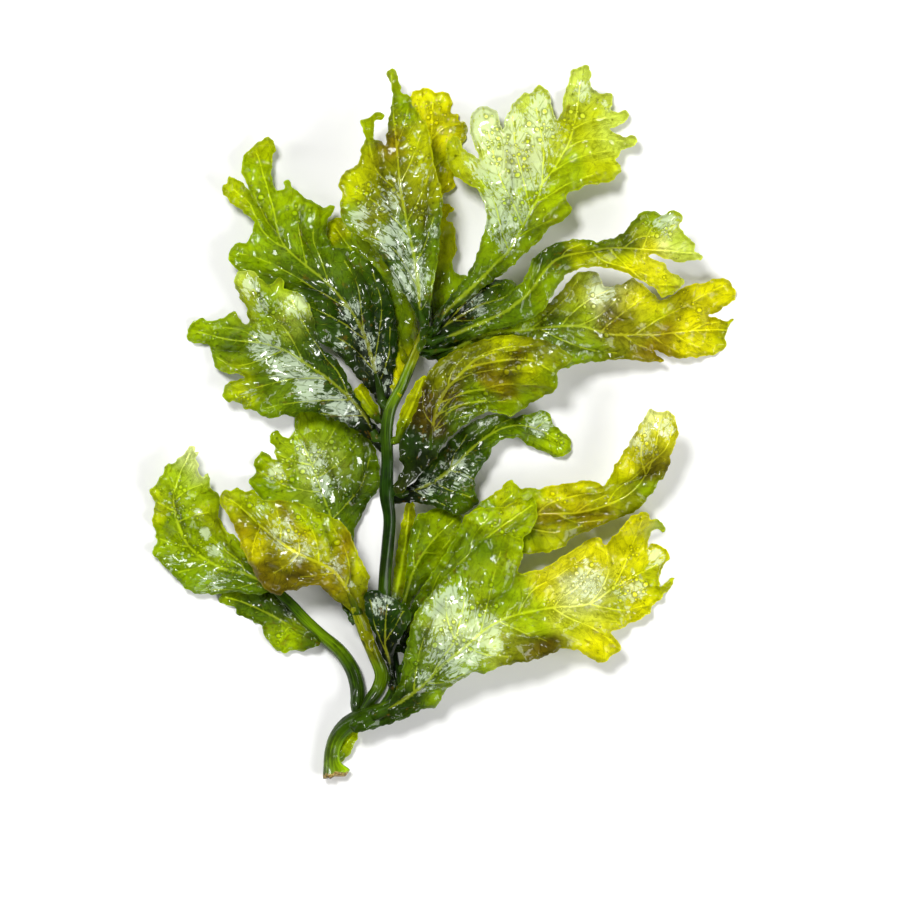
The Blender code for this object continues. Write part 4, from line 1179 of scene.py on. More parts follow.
BLADES["blade_lower_middle"] = {
    "folds": [[(478, 510), (462, 540), (440, 575)], [(532, 512), (510, 530), (490, 548)]],
    "veins": [
        [(402, 649), (406, 636), (416, 616), (430, 597), (450, 573), (470, 553), (490, 535),
         (510, 520), (530, 506)], [(450, 573), (462, 568), (484, 566), (504, 560)],
        [(470, 553), (474, 535), (488, 518)], [(430, 597), (436, 580), (448, 560)],
        [(490, 535), (504, 538), (518, 536)],
    ],
    "pans": [
        (404, 645, "deep"), (415, 610, "forest"), (440, 575, "grass"), (465, 540, "grass"),
        (485, 515, "lime"), (510, 505, "yellow_lime"), (530, 505, "lime"), (515, 530, "lime"),
        (490, 560, "grass"), (460, 585, "leaf"),
    ],
    "blisters": [(500, 525, 22, 12)],
}
BLADES["blade_lower_right"] = {
    "folds": [
        [(517, 571), (505, 592), (480, 605), (470, 618)], [(424, 598), (452, 572), (465, 552)],
        [(510, 638), (540, 636), (570, 642)], [(420, 650), (432, 620), (448, 596)],
        [(384, 718), (400, 712), (416, 703), (430, 692)], [(392, 703), (404, 692), (414, 676)],
    ],
    "neck": [
        (401, 678), (396, 689), (390, 699), (379, 705), (366, 710), (354, 716), (350, 724), (354, 731),
        (364, 730), (376, 727), (392, 722), (408, 716), (420, 709),
    ],
    "stalk": (2.0, 20),
    "veins": [
        [(374, 714), (388, 708), (402, 700), (414, 691), (425, 682), (436, 671), (450, 658),
         (465, 645), (480, 632), (498, 620), (517, 613), (553, 607), (588, 603), (612, 588),
         (634, 576), (655, 566)], [(517, 613), (524, 600), (534, 588), (560, 573), (584, 556)],
        [(553, 607), (562, 596), (577, 586), (590, 568)],
        [(553, 608), (570, 618), (590, 626), (610, 640)],
        [(588, 603), (604, 607), (624, 610), (642, 606)],
        [(612, 588), (622, 570), (630, 548), (640, 520)],
        [(435, 670), (444, 655), (455, 638), (462, 612), (466, 580)],
        [(414, 692), (416, 672), (420, 650), (430, 622)],
        [(480, 632), (486, 608), (492, 580), (500, 552)], [(498, 620), (520, 630), (545, 640)],
        [(465, 645), (482, 652), (505, 655)], [(425, 682), (445, 680), (464, 672)],
        [(588, 603), (600, 590), (608, 570), (606, 552)], [(634, 576), (648, 584), (666, 586)],
        [(455, 638), (448, 618), (446, 598)],
    ],
    "pans": [
        (360, 720, "forest"), (380, 714, "forest"), (400, 706, "forest"), (415, 700, "deep"),
        (405, 670, "leaf"), (412, 640, "leaf"), (430, 610, "grass"), (455, 580, "grass"),
        (485, 545, "leaf"), (510, 548, "lime"), (438, 698, "grass"), (430, 688, "leaf"),
        (450, 660, "leaf"), (475, 665, "grass"), (488, 646, "pale_lime"), (446, 622, "pale_lime"),
        (470, 612, "lime"), (505, 590, "grass"), (515, 660, "olive"), (540, 650, "umber"),
        (530, 615, "lime"), (545, 585, "yellow"), (570, 565, "yellow"), (595, 548, "yellow"),
        (580, 590, "pale"), (575, 620, "yellow_lime"), (600, 645, "yellow"), (612, 640, "lemon"),
        (615, 600, "yellow_lime"), (635, 590, "yellow"), (645, 555, "lemon"), (632, 530, "yellow"),
        (658, 524, "lime"), (655, 575, "yellow_lime"), (640, 612, "lemon"), (665, 590, "yellow_lime"),
    ],
    "blisters": [
        (450, 640, 30, 44), (480, 600, 26, 26), (585, 582, 22, 30), (630, 590, 24, 24),
        (560, 600, 20, 14), (430, 670, 18, 14), (635, 550, 16, 10),
    ],
}
print("upper and right blades:", len(BLADES))

# %% [markdown]
# ## The blades on the left, and the small ones
#
# The blades low on the left sit on two side branches, so their stalks matter: a neck makes a broad one
# narrow before it meets its branch. The small ones in the middle are young blades. They are short, hardly
# veined, and lie close to the stipe.

# %% Left, inner and small blades
BLADES["blade_mid_left"] = {
    "folds": [[(300, 440), (330, 470), (345, 510)], [(362, 430), (366, 470), (352, 510)]],
    "veins": [
        [(353, 621), (350, 600), (346, 570), (340, 545), (332, 520), (322, 492), (312, 465),
         (302, 445), (293, 432)], [(332, 520), (350, 500), (364, 480), (370, 460)],
        [(322, 492), (302, 490), (280, 484), (260, 472)], [(312, 465), (325, 446), (335, 428)],
        [(318, 478), (340, 462), (356, 444)], [(312, 465), (292, 460), (272, 452)],
        [(340, 545), (316, 528), (294, 512)],
    ],
    "pans": [
        (316, 470, "pale_lime"), (276, 474, "yellow_lime"), (352, 610, "forest"), (345, 570, "forest"),
        (345, 530, "leaf"), (365, 500, "forest"), (370, 460, "leaf"), (350, 430, "grass"),
        (320, 415, "grass"), (298, 430, "lime"), (280, 440, "lime"), (262, 462, "lime"),
        (262, 490, "grass"), (290, 480, "grass"), (320, 470, "leaf"), (330, 495, "leaf"),
    ],
    "blisters": [(318, 458, 30, 60), (290, 470, 24, 26), (345, 440, 20, 20), (335, 495, 20, 14)],
}
BLADES["blade_under_left"] = {
    "rim": [
        (322, 640), (318, 645), (311, 648), (302, 651), (292, 650), (283, 653), (275, 648), (268, 640),
        (263, 632), (261, 625), (250, 620), (243, 616), (236, 614), (236, 607), (226, 605), (219, 600),
        (222, 594), (236, 590), (252, 588), (268, 590), (281, 593), (293, 604), (307, 619), (322, 634),
    ],
    "veins": [
        [(312, 637), (300, 631), (290, 626), (270, 614), (248, 604), (228, 598)],
        [(290, 626), (282, 636), (278, 644)],
    ],
    "pans": [
        (315, 636, "forest"), (300, 646, "lime"), (280, 642, "lime"), (285, 615, "deep"),
        (262, 600, "forest"), (262, 618, "leaf"), (245, 605, "leaf"), (225, 598, "lime"),
    ],
    "blisters": [(280, 630, 16, 8)],
}
BLADES["blade_outer_left"] = {
    "folds": [[(165, 478), (178, 510), (190, 545)], [(212, 500), (228, 545), (262, 575)]],
    "stalk": (1.6, 12),
    "veins": [
        [(276, 590), (262, 581), (245, 573), (228, 570), (210, 562), (190, 546), (178, 522),
         (174, 500), (180, 475), (190, 455)], [(247, 574), (240, 562), (228, 552), (212, 538)],
        [(258, 582), (238, 588), (214, 590)], [(210, 562), (196, 568), (180, 572)],
        [(190, 546), (176, 544), (162, 540)], [(178, 522), (192, 516), (208, 512)],
        [(174, 500), (188, 490), (202, 484)], [(176, 512), (166, 506), (158, 502)],
    ],
    "pans": [
        (274, 590, "forest"), (255, 580, "leaf"), (230, 580, "leaf"), (200, 582, "grass"),
        (175, 565, "grass"), (230, 555, "lime"), (205, 545, "lime"), (165, 540, "lime"),
        (160, 510, "yellow_lime"), (185, 520, "grass"), (212, 505, "lime"), (195, 490, "lime"),
        (172, 480, "lime"), (190, 452, "pale"), (215, 520, "yellow_lime"),
    ],
    "blisters": [(180, 500, 24, 22), (195, 540, 26, 26), (230, 570, 20, 12)],
}
BLADES["blade_folded_left"] = {
    "folds": [
        [(262, 562), (292, 574), (322, 580)], [(322, 514), (328, 534), (334, 552)],
        [(240, 510), (270, 535), (320, 548)], [(352, 560), (350, 590)],
    ],
    "neck": [
        (349, 608), (356, 620), (361, 634), (367, 646), (373, 650), (374, 638), (370, 622), (366, 606),
    ],
    "stalk": (1.7, 13),
    "veins": [
        [(358, 612), (354, 600), (346, 586), (336, 572), (320, 562), (300, 553), (282, 542),
         (262, 525), (240, 505), (228, 498)], [(346, 586), (350, 566), (344, 545), (335, 530)],
        [(320, 562), (318, 545), (312, 528), (300, 512)], [(300, 553), (290, 562), (276, 572)],
        [(282, 542), (282, 526), (278, 510)], [(300, 553), (300, 540), (292, 526)],
        [(262, 525), (256, 540), (254, 552)], [(336, 572), (320, 574), (302, 576)],
    ],
    "pans": [
        (358, 608, "olive"), (362, 590, "olive"), (358, 565, "yellow_lime"), (348, 545, "ochre"),
        (335, 562, "ochre"), (325, 525, "lime"), (305, 512, "lime"), (295, 545, "yellow"),
        (318, 552, "yellow_lime"), (280, 530, "yellow_lime"), (262, 502, "lime"), (238, 498, "lime"),
        (228, 508, "yellow_lime"), (243, 525, "ochre"), (258, 545, "yellow"), (268, 560, "umber"),
        (278, 585, "umber"), (300, 575, "umber"), (322, 578, "ochre"), (262, 572, "ochre"),
        (290, 520, "ochre"),
    ],
    "blisters": [(260, 505, 22, 16), (310, 525, 24, 18), (335, 550, 16, 8)],
}
BLADES["sheath"] = {
    "veins": [
        [(392, 685), (390, 665), (386, 645), (386, 625), (388, 604)],
        [(386, 640), (396, 625), (403, 612)], [(388, 655), (376, 625), (371, 600)],
    ],
    "pans": [
        (392, 685, "night"), (386, 650, "night"), (385, 620, "deep"), (372, 600, "deep"),
        (405, 612, "forest"),
    ],
    "blisters": [],
}
BLADES["blade_inner_slim"] = {
    "veins": [[(394, 607), (398, 585), (402, 565), (406, 538), (409, 510)]],
    "pans": [(394, 605, "leaf"), (400, 575, "lime"), (402, 550, "lime"), (410, 510, "yellow_lime")],
    "blisters": [],
}
BLADES["blade_inner_broad"] = {
    "veins": [
        [(397, 627), (401, 612), (407, 592), (414, 570), (424, 552), (436, 537), (452, 522)],
        [(414, 570), (414, 550), (420, 530)], [(424, 552), (438, 552), (450, 540)],
    ],
    "pans": [
        (398, 625, "deep"), (408, 590, "leaf"), (420, 560, "grass"), (415, 530, "leaf"),
        (440, 515, "lime"), (455, 525, "lime"), (440, 555, "lime"), (425, 580, "leaf"),
    ],
    "blisters": [],
}
BLADES["leaflet_left"] = {
    "veins": [[(379, 420), (374, 412), (369, 405), (360, 391)]],
    "pans": [(379, 420, "forest"), (368, 404, "lime"), (358, 390, "yellow_lime")],
    "blisters": [],
}
BLADES["leaflet_right"] = {
    "rim": [
        (395, 444), (396, 432), (399, 418), (404, 404), (411, 391), (418, 381), (424, 376), (428, 380),
        (427, 391), (423, 403), (418, 415), (412, 427), (404, 438),
    ],
    "veins": [[(397, 442), (403, 428), (410, 412), (417, 396), (423, 381)]],
    "pans": [(397, 442, "grass"), (408, 412, "yellow_lime"), (423, 381, "yellow_lime")],
    "blisters": [],
}
BLADES["leaflet_foot"] = {
    "rim": [
        (337, 763), (335, 754), (338, 744), (344, 736), (351, 730), (358, 728), (358, 735), (354, 745),
        (350, 753), (344, 760),
    ],
    "veins": [[(340, 758), (344, 748), (352, 736)]],
    "pans": [(340, 758, "grass"), (350, 742, "lime")],
    "blisters": [],
}
print("blades:", len(BLADES), "veins drawn:", sum(len(b["veins"]) for b in BLADES.values()))


# %% [markdown]
# ## Shader expressions
#
# A material is a small graph of nodes. Written as expressions it stays readable: a wire is the output of a
# node, and an operator between wires adds the Math node that works it out.

# %% Wires
class Wire:
    """An output of a node, with operators that add Math nodes; without an output it starts a graph."""

    def __init__(self, tree, socket=None):
        self.tree = tree
        self.socket = socket

    def node(self, kind, settings, inputs, output=0):
        """A new node: its settings are set first, then the values or wires of its sockets."""
        made = self.tree.nodes.new(kind)
        for name, value in settings.items():
            setattr(made, name, value)
        for name, value in inputs.items():
            if isinstance(value, Wire):
                self.tree.links.new(value.socket, made.inputs[name])
            else:
                made.inputs[name].default_value = value
        return Wire(self.tree, made.outputs[output] if made.outputs else None)

    def math(self, operation, *values):
        return self.node("ShaderNodeMath", {"operation": operation}, dict(enumerate(values)))

    def __add__(self, other):
        return self.math("ADD", self, other)

    def __sub__(self, other):
        return self.math("SUBTRACT", self, other)

    def __rsub__(self, other):
        return self.math("SUBTRACT", other, self)

    def __mul__(self, other):
        return self.math("MULTIPLY", self, other)

    def __abs__(self):
        return self.math("ABSOLUTE", self)

    __radd__ = __add__
    __rmul__ = __mul__

    def ramp(self, low, high):
        """0 below low and 1 above high, with a soft change between them."""
        inputs = {"Value": self, "From Min": low, "From Max": high}
        return self.node("ShaderNodeMapRange", {"interpolation_type": "SMOOTHSTEP"}, inputs)

    def mixed(self, factor, other):
        """This colour, turned towards another by the factor."""
        return self.node("ShaderNodeMix", {"data_type": "RGBA"}, {0: factor, 6: self, 7: other}, output=2)


def fresh_material(title):
    """A new material and its empty tree of nodes."""
    material = bpy.data.materials.new(title)
    material.use_nodes = True
    material.node_tree.nodes.clear()
    return material, material.node_tree


def attribute(tree, name, output="Fac"):
    return Wire(tree).node("ShaderNodeAttribute", {"attribute_name": name}, {}, output)


def noise(place, millimetres, detail=2.0, roughness=0.5):
    """A noise, around 0.5, whose blotches have about the given size."""
    inputs = {"Vector": place, "Scale": 1000 / millimetres, "Detail": detail, "Roughness": roughness}
    return place.node("ShaderNodeTexNoise", {}, inputs, "Fac")


print("a wire can be added, subtracted, multiplied, mixed and ramped")

# %% [markdown]
# ## The colour of a wet blade
#
# Seaweed is never one colour. Over the paint of its pans a blade is mottled and streaked, netted with fine
# veins, flecked with brown, and pale at its rim, and dark hairlines run between the streaks. Light and
# shade
# are painted in too: painted shade along one side of each drawn vein and in a thin line on both sides of
# every vein, a painted highlight on the top of each blister with painted shade in a ring round it, and a
# pale painted sheen with a dark line round it where water lies. Each of these turns the colour a little
# towards a darker or a brighter one, in the order in which they lie over each other, so the painted sheen
# comes after the blade itself.

# %% Blade colour
VEIN_COLOUR = (0.66, 0.70, 0.03, 1)
# The pale colour of the painted sheen on wet places.
SHEEN_COLOUR = (0.72, 0.84, 0.64, 1)
FLECK_COLOUR = (0.035, 0.045, 0.0, 1)
RUST_COLOUR = (0.16, 0.08, 0.0, 1)
NET_WIDTH = 2.1
DARKER = {"Value": 0.32, "Saturation": 1.05}
BRIGHTER = {"Value": 1.4}
SHEEN_COVERS = 0.85
SHEEN_OVER_PAINT = 0.58
VEIN_OVER_PAINT = 0.26


def blade_colour(tree, place, streaks, film_and_sheen, brink):
    """A blade's colour: its paint, broken up by what grows on it, with painted shade, highlights and sheen.
    """
    start = Wire(tree)
    paint = attribute(tree, "paint", "Color")
    vein = attribute(tree, "vein")
    edge = attribute(tree, "edge")
    blister = attribute(tree, "blister")
    grain = attribute(tree, "grain", "Vector")
    across = grain.node("ShaderNodeSeparateXYZ", {}, {"Vector": grain}, "X")
    mottle = noise(place, 6, detail=5, roughness=0.65)
    net_place = {"Vector": place, "Scale": 1000 / NET_WIDTH, "Randomness": 1.0}
    net = place.node("ShaderNodeTexVoronoi", {"feature": "DISTANCE_TO_EDGE"}, net_place, "Distance")

    darker = start.node("ShaderNodeHueSaturation", {}, {**DARKER, "Color": paint})
    brighter = start.node("ShaderNodeHueSaturation", {}, {**BRIGHTER, "Color": paint})
    colour = paint.mixed(mottle.ramp(0.48, 0.64) * 0.55, darker)
    colour = colour.mixed((1 - mottle.ramp(0.36, 0.48)) * 0.5, brighter)
    colour = colour.mixed(streaks.ramp(0.55, 0.62) * 0.6, darker)
    # Painted shade: a darker band along one side of each drawn vein.
    shade = across.ramp(0.2, 0.7) * (1 - across.ramp(0.9, 2.6))
    colour = colour.mixed(shade * 0.4, darker)
    colour = colour.mixed((1 - net.ramp(0.015, 0.07)) * 0.35, brighter)
    flecks = noise(place, 1.5, detail=2).ramp(0.68, 0.72)
    rust = (noise(place, 5, detail=4, roughness=0.7) * 0.6 + streaks * 0.4).ramp(0.57, 0.64)
    colour = colour.mixed(rust * 0.5, RUST_COLOUR).mixed(flecks * 0.75, FLECK_COLOUR)
    hairline = 1 - abs(streaks - 0.46).ramp(0.002, 0.014)
    crack = 1 - abs(mottle - 0.50).ramp(0.001, 0.008)
    colour = colour.mixed(hairline * 0.45, darker).mixed(crack * 0.40, darker)
    # Painted sheen: wet places turn pale in place of a reflection, with a dark line round them.
    sheen_tint = paint.mixed(SHEEN_OVER_PAINT, SHEEN_COLOUR)
    colour = colour.mixed(film_and_sheen * SHEEN_COVERS, sheen_tint).mixed(brink * 0.4, darker)
    # Painted shade: a thin dark line along both sides of every vein.
    colour = colour.mixed(vein.ramp(0.02, 0.08) * (1 - vein.ramp(0.12, 0.3)) * 0.5, darker)
    lit_vein = brighter.mixed(VEIN_OVER_PAINT, VEIN_COLOUR)
    colour = colour.mixed(vein.ramp(0.18, 0.5) * 0.75, lit_vein)
    # Painted highlight on the top of each blister, and painted shade in a ring round its foot.
    ring = blister.ramp(0.02, 0.14) * (1 - blister.ramp(0.3, 0.5))
    swell = blister.ramp(0.3, 0.6)
    colour = colour.mixed(swell * 0.85, brighter).mixed(ring * 0.75, darker)
    colour = colour.mixed(edge.ramp(0.25, 0.5) * (1 - edge.ramp(0.7, 1.5)) * 0.45, darker)
    return colour.mixed((1 - edge.ramp(0.08, 0.30)) * 0.4, brighter)


print("a mesh of the net is about", NET_WIDTH, "mm wide")

# %% [markdown]
# ## The finishes of the blades
#
# Light passes through a blade, so each finish mixes a glossy surface with a translucent one, and dark
# places let less of it through. The water is a clear coat, thicker where the blade is wet. There the colour
# also gets a painted sheen: a pale film with ragged edges and a dark line round them, holes where the blade
# is dry, and small pale drops near by, which are painted glints. A bump of fine streaks and pimples breaks
# the highlights into grains. The four finishes differ in the colour that comes through them.

# %% Blade finishes
WATER = {"Coat Roughness": 0.05, "Coat IOR": 1.5}
STREAKS = {"Scale": 1.0, "Detail": 4.0, "Roughness": 0.62}


def blade_material(title, through, share):
    """A finish: the constant colour of the light that passes through, and how much does."""
    material, tree = fresh_material(title)
    start = Wire(tree)
    place = start.node("ShaderNodeTexCoord", {}, {}, "Object")
    vein = attribute(tree, "vein")
    wet = attribute(tree, "wet")
    blister = attribute(tree, "blister")
    grain = attribute(tree, "grain", "Vector")
    streaks = grain.node("ShaderNodeTexNoise", {}, {"Vector": grain, **STREAKS}, "Fac")
    pimples = noise(place, 1.3, detail=3, roughness=0.6)
    border = noise(place, 9, detail=5, roughness=0.65)
    holes = noise(place, 2.4, detail=2) * 0.4 + streaks * 0.6 - wet * 0.10
    # Veil, patch and drops: the painted sheen of wet places, which also thickens the coat.
    veil = (wet + border * 1.2 - 0.6).ramp(0.25, 0.85) * 0.12
    reach = wet + border * 1.0 + streaks * 1.5 - 1.25
    patch = reach.ramp(0.44, 0.48) * (1 - holes.ramp(0.46, 0.48))
    glint_drops = noise(place, 2.0, detail=2).ramp(0.62, 0.64) * wet.ramp(0.18, 0.40) * 0.8
    laid = veil + patch * (1 - veil)
    film_and_sheen = laid + glint_drops * (1 - laid)
    brink = reach.ramp(0.38, 0.42) * (1 - reach.ramp(0.44, 0.48))

    colour = blade_colour(tree, place, streaks, film_and_sheen, brink)
    paint = attribute(tree, "paint", "Color")
    light = paint.node("ShaderNodeRGBToBW", {}, {"Color": paint})
    height = (streaks * 0.50 + pimples * 0.16) * (0.20 + wet * 0.80) + film_and_sheen * 0.04
    normal = start.node("ShaderNodeBump", {}, {"Height": height, "Distance": 0.001, "Strength": 0.6})
    surface = {
        "Base Color": colour,
        "Roughness": 0.40 - film_and_sheen * 0.12,
        "IOR": 1.33,
        "Normal": normal,
        "Specular IOR Level": 0.1,
        "Coat Weight": 0.3 + wet * 0.3 + film_and_sheen * 0.3,
    }
    gloss = start.node("ShaderNodeBsdfPrincipled", {}, {**surface, **WATER})
    glow = start.node("ShaderNodeBsdfTranslucent", {}, {"Color": through})
    amount = share * light.ramp(0.01, 0.40) * (1 - film_and_sheen * 0.6) * (1 - vein * 0.3)
    skin_shader = start.node("ShaderNodeMixShader", {}, {0: amount, 1: gloss, 2: glow})
    start.node("ShaderNodeOutputMaterial", {}, {"Surface": skin_shader})
    return material


FINISHES = {
    "yellow_blade": blade_material("yellow blade", (0.88, 0.92, 0.01, 1), 0.34),
    "green_blade": blade_material("green blade", (0.60, 0.82, 0.01, 1), 0.32),
    "deep_green_blade": blade_material("deep green blade", (0.30, 0.52, 0.01, 1), 0.22),
    "olive_blade": blade_material("olive blade", (0.80, 0.78, 0.01, 1), 0.30),
}
print("blade finishes:", len(FINISHES))

# %% [markdown]
# ## A wet stem
#
# The stipe is thicker and tougher than the blades, so no light gets through. It is a dark, shiny green
# with long streaks, and two bands of painted highlight wind along it. Like a blade it is painted with pans,
# and darkened or brightened from there.

# %% Stem finish
STEM_DARKER = {"Value": 0.25}
STEM_BRIGHTER = {"Value": 1.8}
STEM_WATER = {"Coat Weight": 0.2, "Coat Roughness": 0.10, "Coat IOR": 1.5}


def stem_material():
    material, tree = fresh_material("wet stem")
    start = Wire(tree)
    place = start.node("ShaderNodeTexCoord", {}, {}, "Object")
    grain = attribute(tree, "grain", "Vector")
    pale = attribute(tree, "pale")
    streaks = grain.node("ShaderNodeTexNoise", {}, {"Vector": grain, "Scale": 1.0, "Detail": 3.0}, "Fac")
    mottle = noise(place, 5, detail=3)
    paint = attribute(tree, "paint", "Color")
    darker = start.node("ShaderNodeHueSaturation", {}, {**STEM_DARKER, "Color": paint})
    brighter = start.node("ShaderNodeHueSaturation", {}, {**STEM_BRIGHTER, "Color": paint})
    colour = paint.mixed(mottle.ramp(0.42, 0.60) * 0.7, darker)
    colour = colour.mixed((1 - streaks.ramp(0.36, 0.46)) * 0.6, darker)
    # The pale bands are painted highlights.
    colour = colour.mixed(streaks.ramp(0.52, 0.64) * 0.6 + pale * 0.5, brighter)
    height = streaks * 1.2 + mottle * 0.4
    normal = start.node("ShaderNodeBump", {}, {"Height": height, "Distance": 0.0004, "Strength": 0.7})
    surface = {
        "Base Color": colour,
        "Roughness": 0.30 + mottle * 0.12,
        "IOR": 1.40,
        "Normal": normal,
        "Specular IOR Level": 0.1,
    }
    gloss = start.node("ShaderNodeBsdfPrincipled", {}, {**surface, **STEM_WATER})
    start.node("ShaderNodeOutputMaterial", {}, {"Surface": gloss})
    return material


STEM_FINISH = stem_material()
print("nodes in the stem's finish:", len(STEM_FINISH.node_tree.nodes))

# %% [markdown]
# ## The dried cut
#
# The foot of the stipe was torn or cut off. The torn end shows pale fibres, has dried brown between them,
# and keeps some of its green in blotches. It is rougher than any other part of the sprig.

# %% Finish of the cut
CUT_BROWN = (0.16, 0.07, 0.01, 1)
CUT_PALE = (0.55, 0.42, 0.08, 1)
CUT_GREEN = (0.050, 0.100, 0.001, 1)


def cut_material():
    material, tree = fresh_material("dried cut")
    start = Wire(tree)
    place = start.node("ShaderNodeTexCoord", {}, {}, "Object")
    fibres = noise(place, 0.6, detail=4, roughness=0.7)
    blotches = noise(place, 2.0, detail=2)
    shades = {0: fibres.ramp(0.4, 0.65), 6: CUT_BROWN, 7: CUT_PALE}
    brown = start.node("ShaderNodeMix", {"data_type": "RGBA"}, shades, 2)
    colour = brown.mixed(blotches.ramp(0.5, 0.7) * 0.6, CUT_GREEN)
    normal = start.node("ShaderNodeBump", {}, {"Height": fibres, "Distance": 0.0005, "Strength": 1.0})
    surface = {
        "Base Color": colour,
        "Roughness": 0.55 - fibres * 0.15,
        "Normal": normal,
        "Coat Weight": 0.25,
    }
    rough = start.node("ShaderNodeBsdfPrincipled", {}, surface)
    start.node("ShaderNodeOutputMaterial", {}, {"Surface": rough})
    return material


CUT_FINISH = cut_material()
print("nodes in the cut's finish:", len(CUT_FINISH.node_tree.nodes))

# %% [markdown]
# ## Making the pieces
#
# Every piece is one mesh that replaces one node of the frame and rides on its body. What the finishes read,
# such as paint and wetness, is stored at its points as attributes.

# %% Pieces from points and faces
STORED_AS = {"FLOAT": "value", "FLOAT_VECTOR": "vector", "FLOAT_COLOR": "color"}


def new_piece(title, node, points, faces, materials, attributes):
    mesh = bpy.data.meshes.new(title)
    mesh.from_pydata([tuple(p) for p in points], [], faces)
    for name, (kind, values) in attributes.items():
        layer = mesh.attributes.new(name, kind, "POINT")
        layer.data.foreach_set(STORED_AS[kind], np.asarray(values, float).ravel())
    mesh.validate()
    mesh.shade_smooth()
    piece = bpy.data.objects.new(title, mesh)
    bpy.context.collection.objects.link(piece)
    for material in materials:
        mesh.materials.append(material)
    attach(piece, "root")
    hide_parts(node)
    return piece


print("kinds of attribute:", ", ".join(STORED_AS))

# %% [markdown]
# ## Grain
#
# The streaks of a blade follow its veins. So the grain of its surface is a vector that changes quickly
# across the nearest vein and slowly along it, and an ordinary noise texture read at that vector comes out
# as long streaks. The last number is different for every blade, so that no two look alike.

# %% Grain along the veins
GRAIN_ACROSS = 1.0 * MM
GRAIN_ALONG = 8.0 * MM
VEIN_STEP = 0.8 * MM
SEEDS_APART = 7.0


def grain_along(points, lines, seed):
    """For each point, its place across and along the nearest line, at the scale of the streaks."""
    smooth = [smooth_line(line, VEIN_STEP) for line in lines]
    merged = np.vstack(smooth)
    _, at = nearest(points, merged)
    runs = np.vstack([np.gradient(line, axis=0) for line in smooth])[at]
    runs /= np.linalg.norm(runs, axis=1, keepdims=True)
    gap = points - merged[at]
    across = gap[:, 0] * runs[:, 1] - gap[:, 1] * runs[:, 0]
    along = (merged[at] * runs).sum(axis=1) + (gap * runs).sum(axis=1)
    seeds = np.full(len(points), seed * SEEDS_APART)
    return np.column_stack([across / GRAIN_ACROSS, along / GRAIN_ALONG, seeds])


print("a streak is about", round(GRAIN_ALONG / GRAIN_ACROSS), "times as long as wide")

# %% [markdown]
# ## Blisters
#
# Small blisters sit close together in places, as if the blade had come to a boil there. They are drawn at
# random round the middle of a patch, most of them small. One that would touch another or the rim is left
# out.

# %% Blisters
SMALLEST_BLISTER = 0.26
BLISTER_MORE = 0.75
BLISTERS_APART = 1.15
BLISTER_OFF_RIM = 2.2


def scattered(patches, rim, rng):
    """Blisters (x, y, radius), thickest in the middle of each patch."""
    found = []
    for across, down, radius, count in patches:
        for _ in range(count):
            turn = rng.uniform(0, 2 * math.pi)
            away = radius * math.sqrt(rng.random()) * rng.uniform(0.4, 1.0)
            x, y = placed((across + away * math.cos(turn), down + away * math.sin(turn)))
            size = (SMALLEST_BLISTER + BLISTER_MORE * rng.random() ** 3) * MM
            clear = all(math.hypot(x - a, y - b) > BLISTERS_APART * (size + r) for a, b, r in found)
            off_rim = np.linalg.norm(rim - (x, y), axis=1).min() > BLISTER_OFF_RIM * size
            if clear and off_rim and inside(np.array([(x, y)]), rim)[0]:
                found.append((x, y, size))
    return found


print("blisters from", SMALLEST_BLISTER, "to", round(SMALLEST_BLISTER + BLISTER_MORE, 2), "mm in radius")

# %% [markdown]
# ## Dressing the blades
#
# Now each blade goes through the same steps. Its solid gives height and outline. The outline is narrowed
# at its neck, scalloped, and filled with veins, blisters and points. Relief turns the flat skin into two
# layers, a stalk is added, and the attributes are worked out at every point. The number of the blade seeds
# its random choices, so the result is the same on every run.

# %% Blades
SLOTS = {
    "yellow_blade": (
        "blade_top_back", "blade_upper_left_back", "blade_top_right", "blade_right_upper",
        "blade_long_right", "blade_lower_middle", "blade_lower_right", "blade_inner_slim",
        "leaflet_left", "leaflet_right", "leaflet_foot",
    ),
    "green_blade": (
        "blade_upper_left", "blade_left", "blade_mid_left", "blade_outer_left", "blade_under_left",
        "blade_inner_broad",
    ),
    "deep_green_blade": ("blade_dark_right", "blade_right_small", "sheath"),
    "olive_blade": ("blade_top_centre", "blade_right", "blade_right_lower", "blade_folded_left"),
}
SLOT_OF = {node: slot for slot, nodes in SLOTS.items() for node in nodes}
FOLD_SHADE = 0.55
STALK_PAINT = "forest"
FAR_FROM_RIM = 0.01
# The width of a vein in mm at its root and at its tip, and how much it stands out.
MIDRIB_WIDTHS = (0.44, 0.20, 1.0)
SIDE_WIDTHS = (0.26, 0.15, 0.85)
BRANCHLET_WIDTHS = (0.19, 0.12, 0.42)


def necked(rim, neck):
    """The rim with the neck's points in place of the short run between the neck's two ends."""
    start = np.linalg.norm(rim - neck[0], axis=1).argmin()
    end = np.linalg.norm(rim - neck[-1], axis=1).argmin()
    turned = np.roll(rim, -start, axis=0)
    stop = (end - start) % len(rim)
    if stop < len(rim) / 2:
        return np.vstack([neck, turned[stop + 1 :]])
    return np.vstack([turned[1:stop], neck[::-1]])


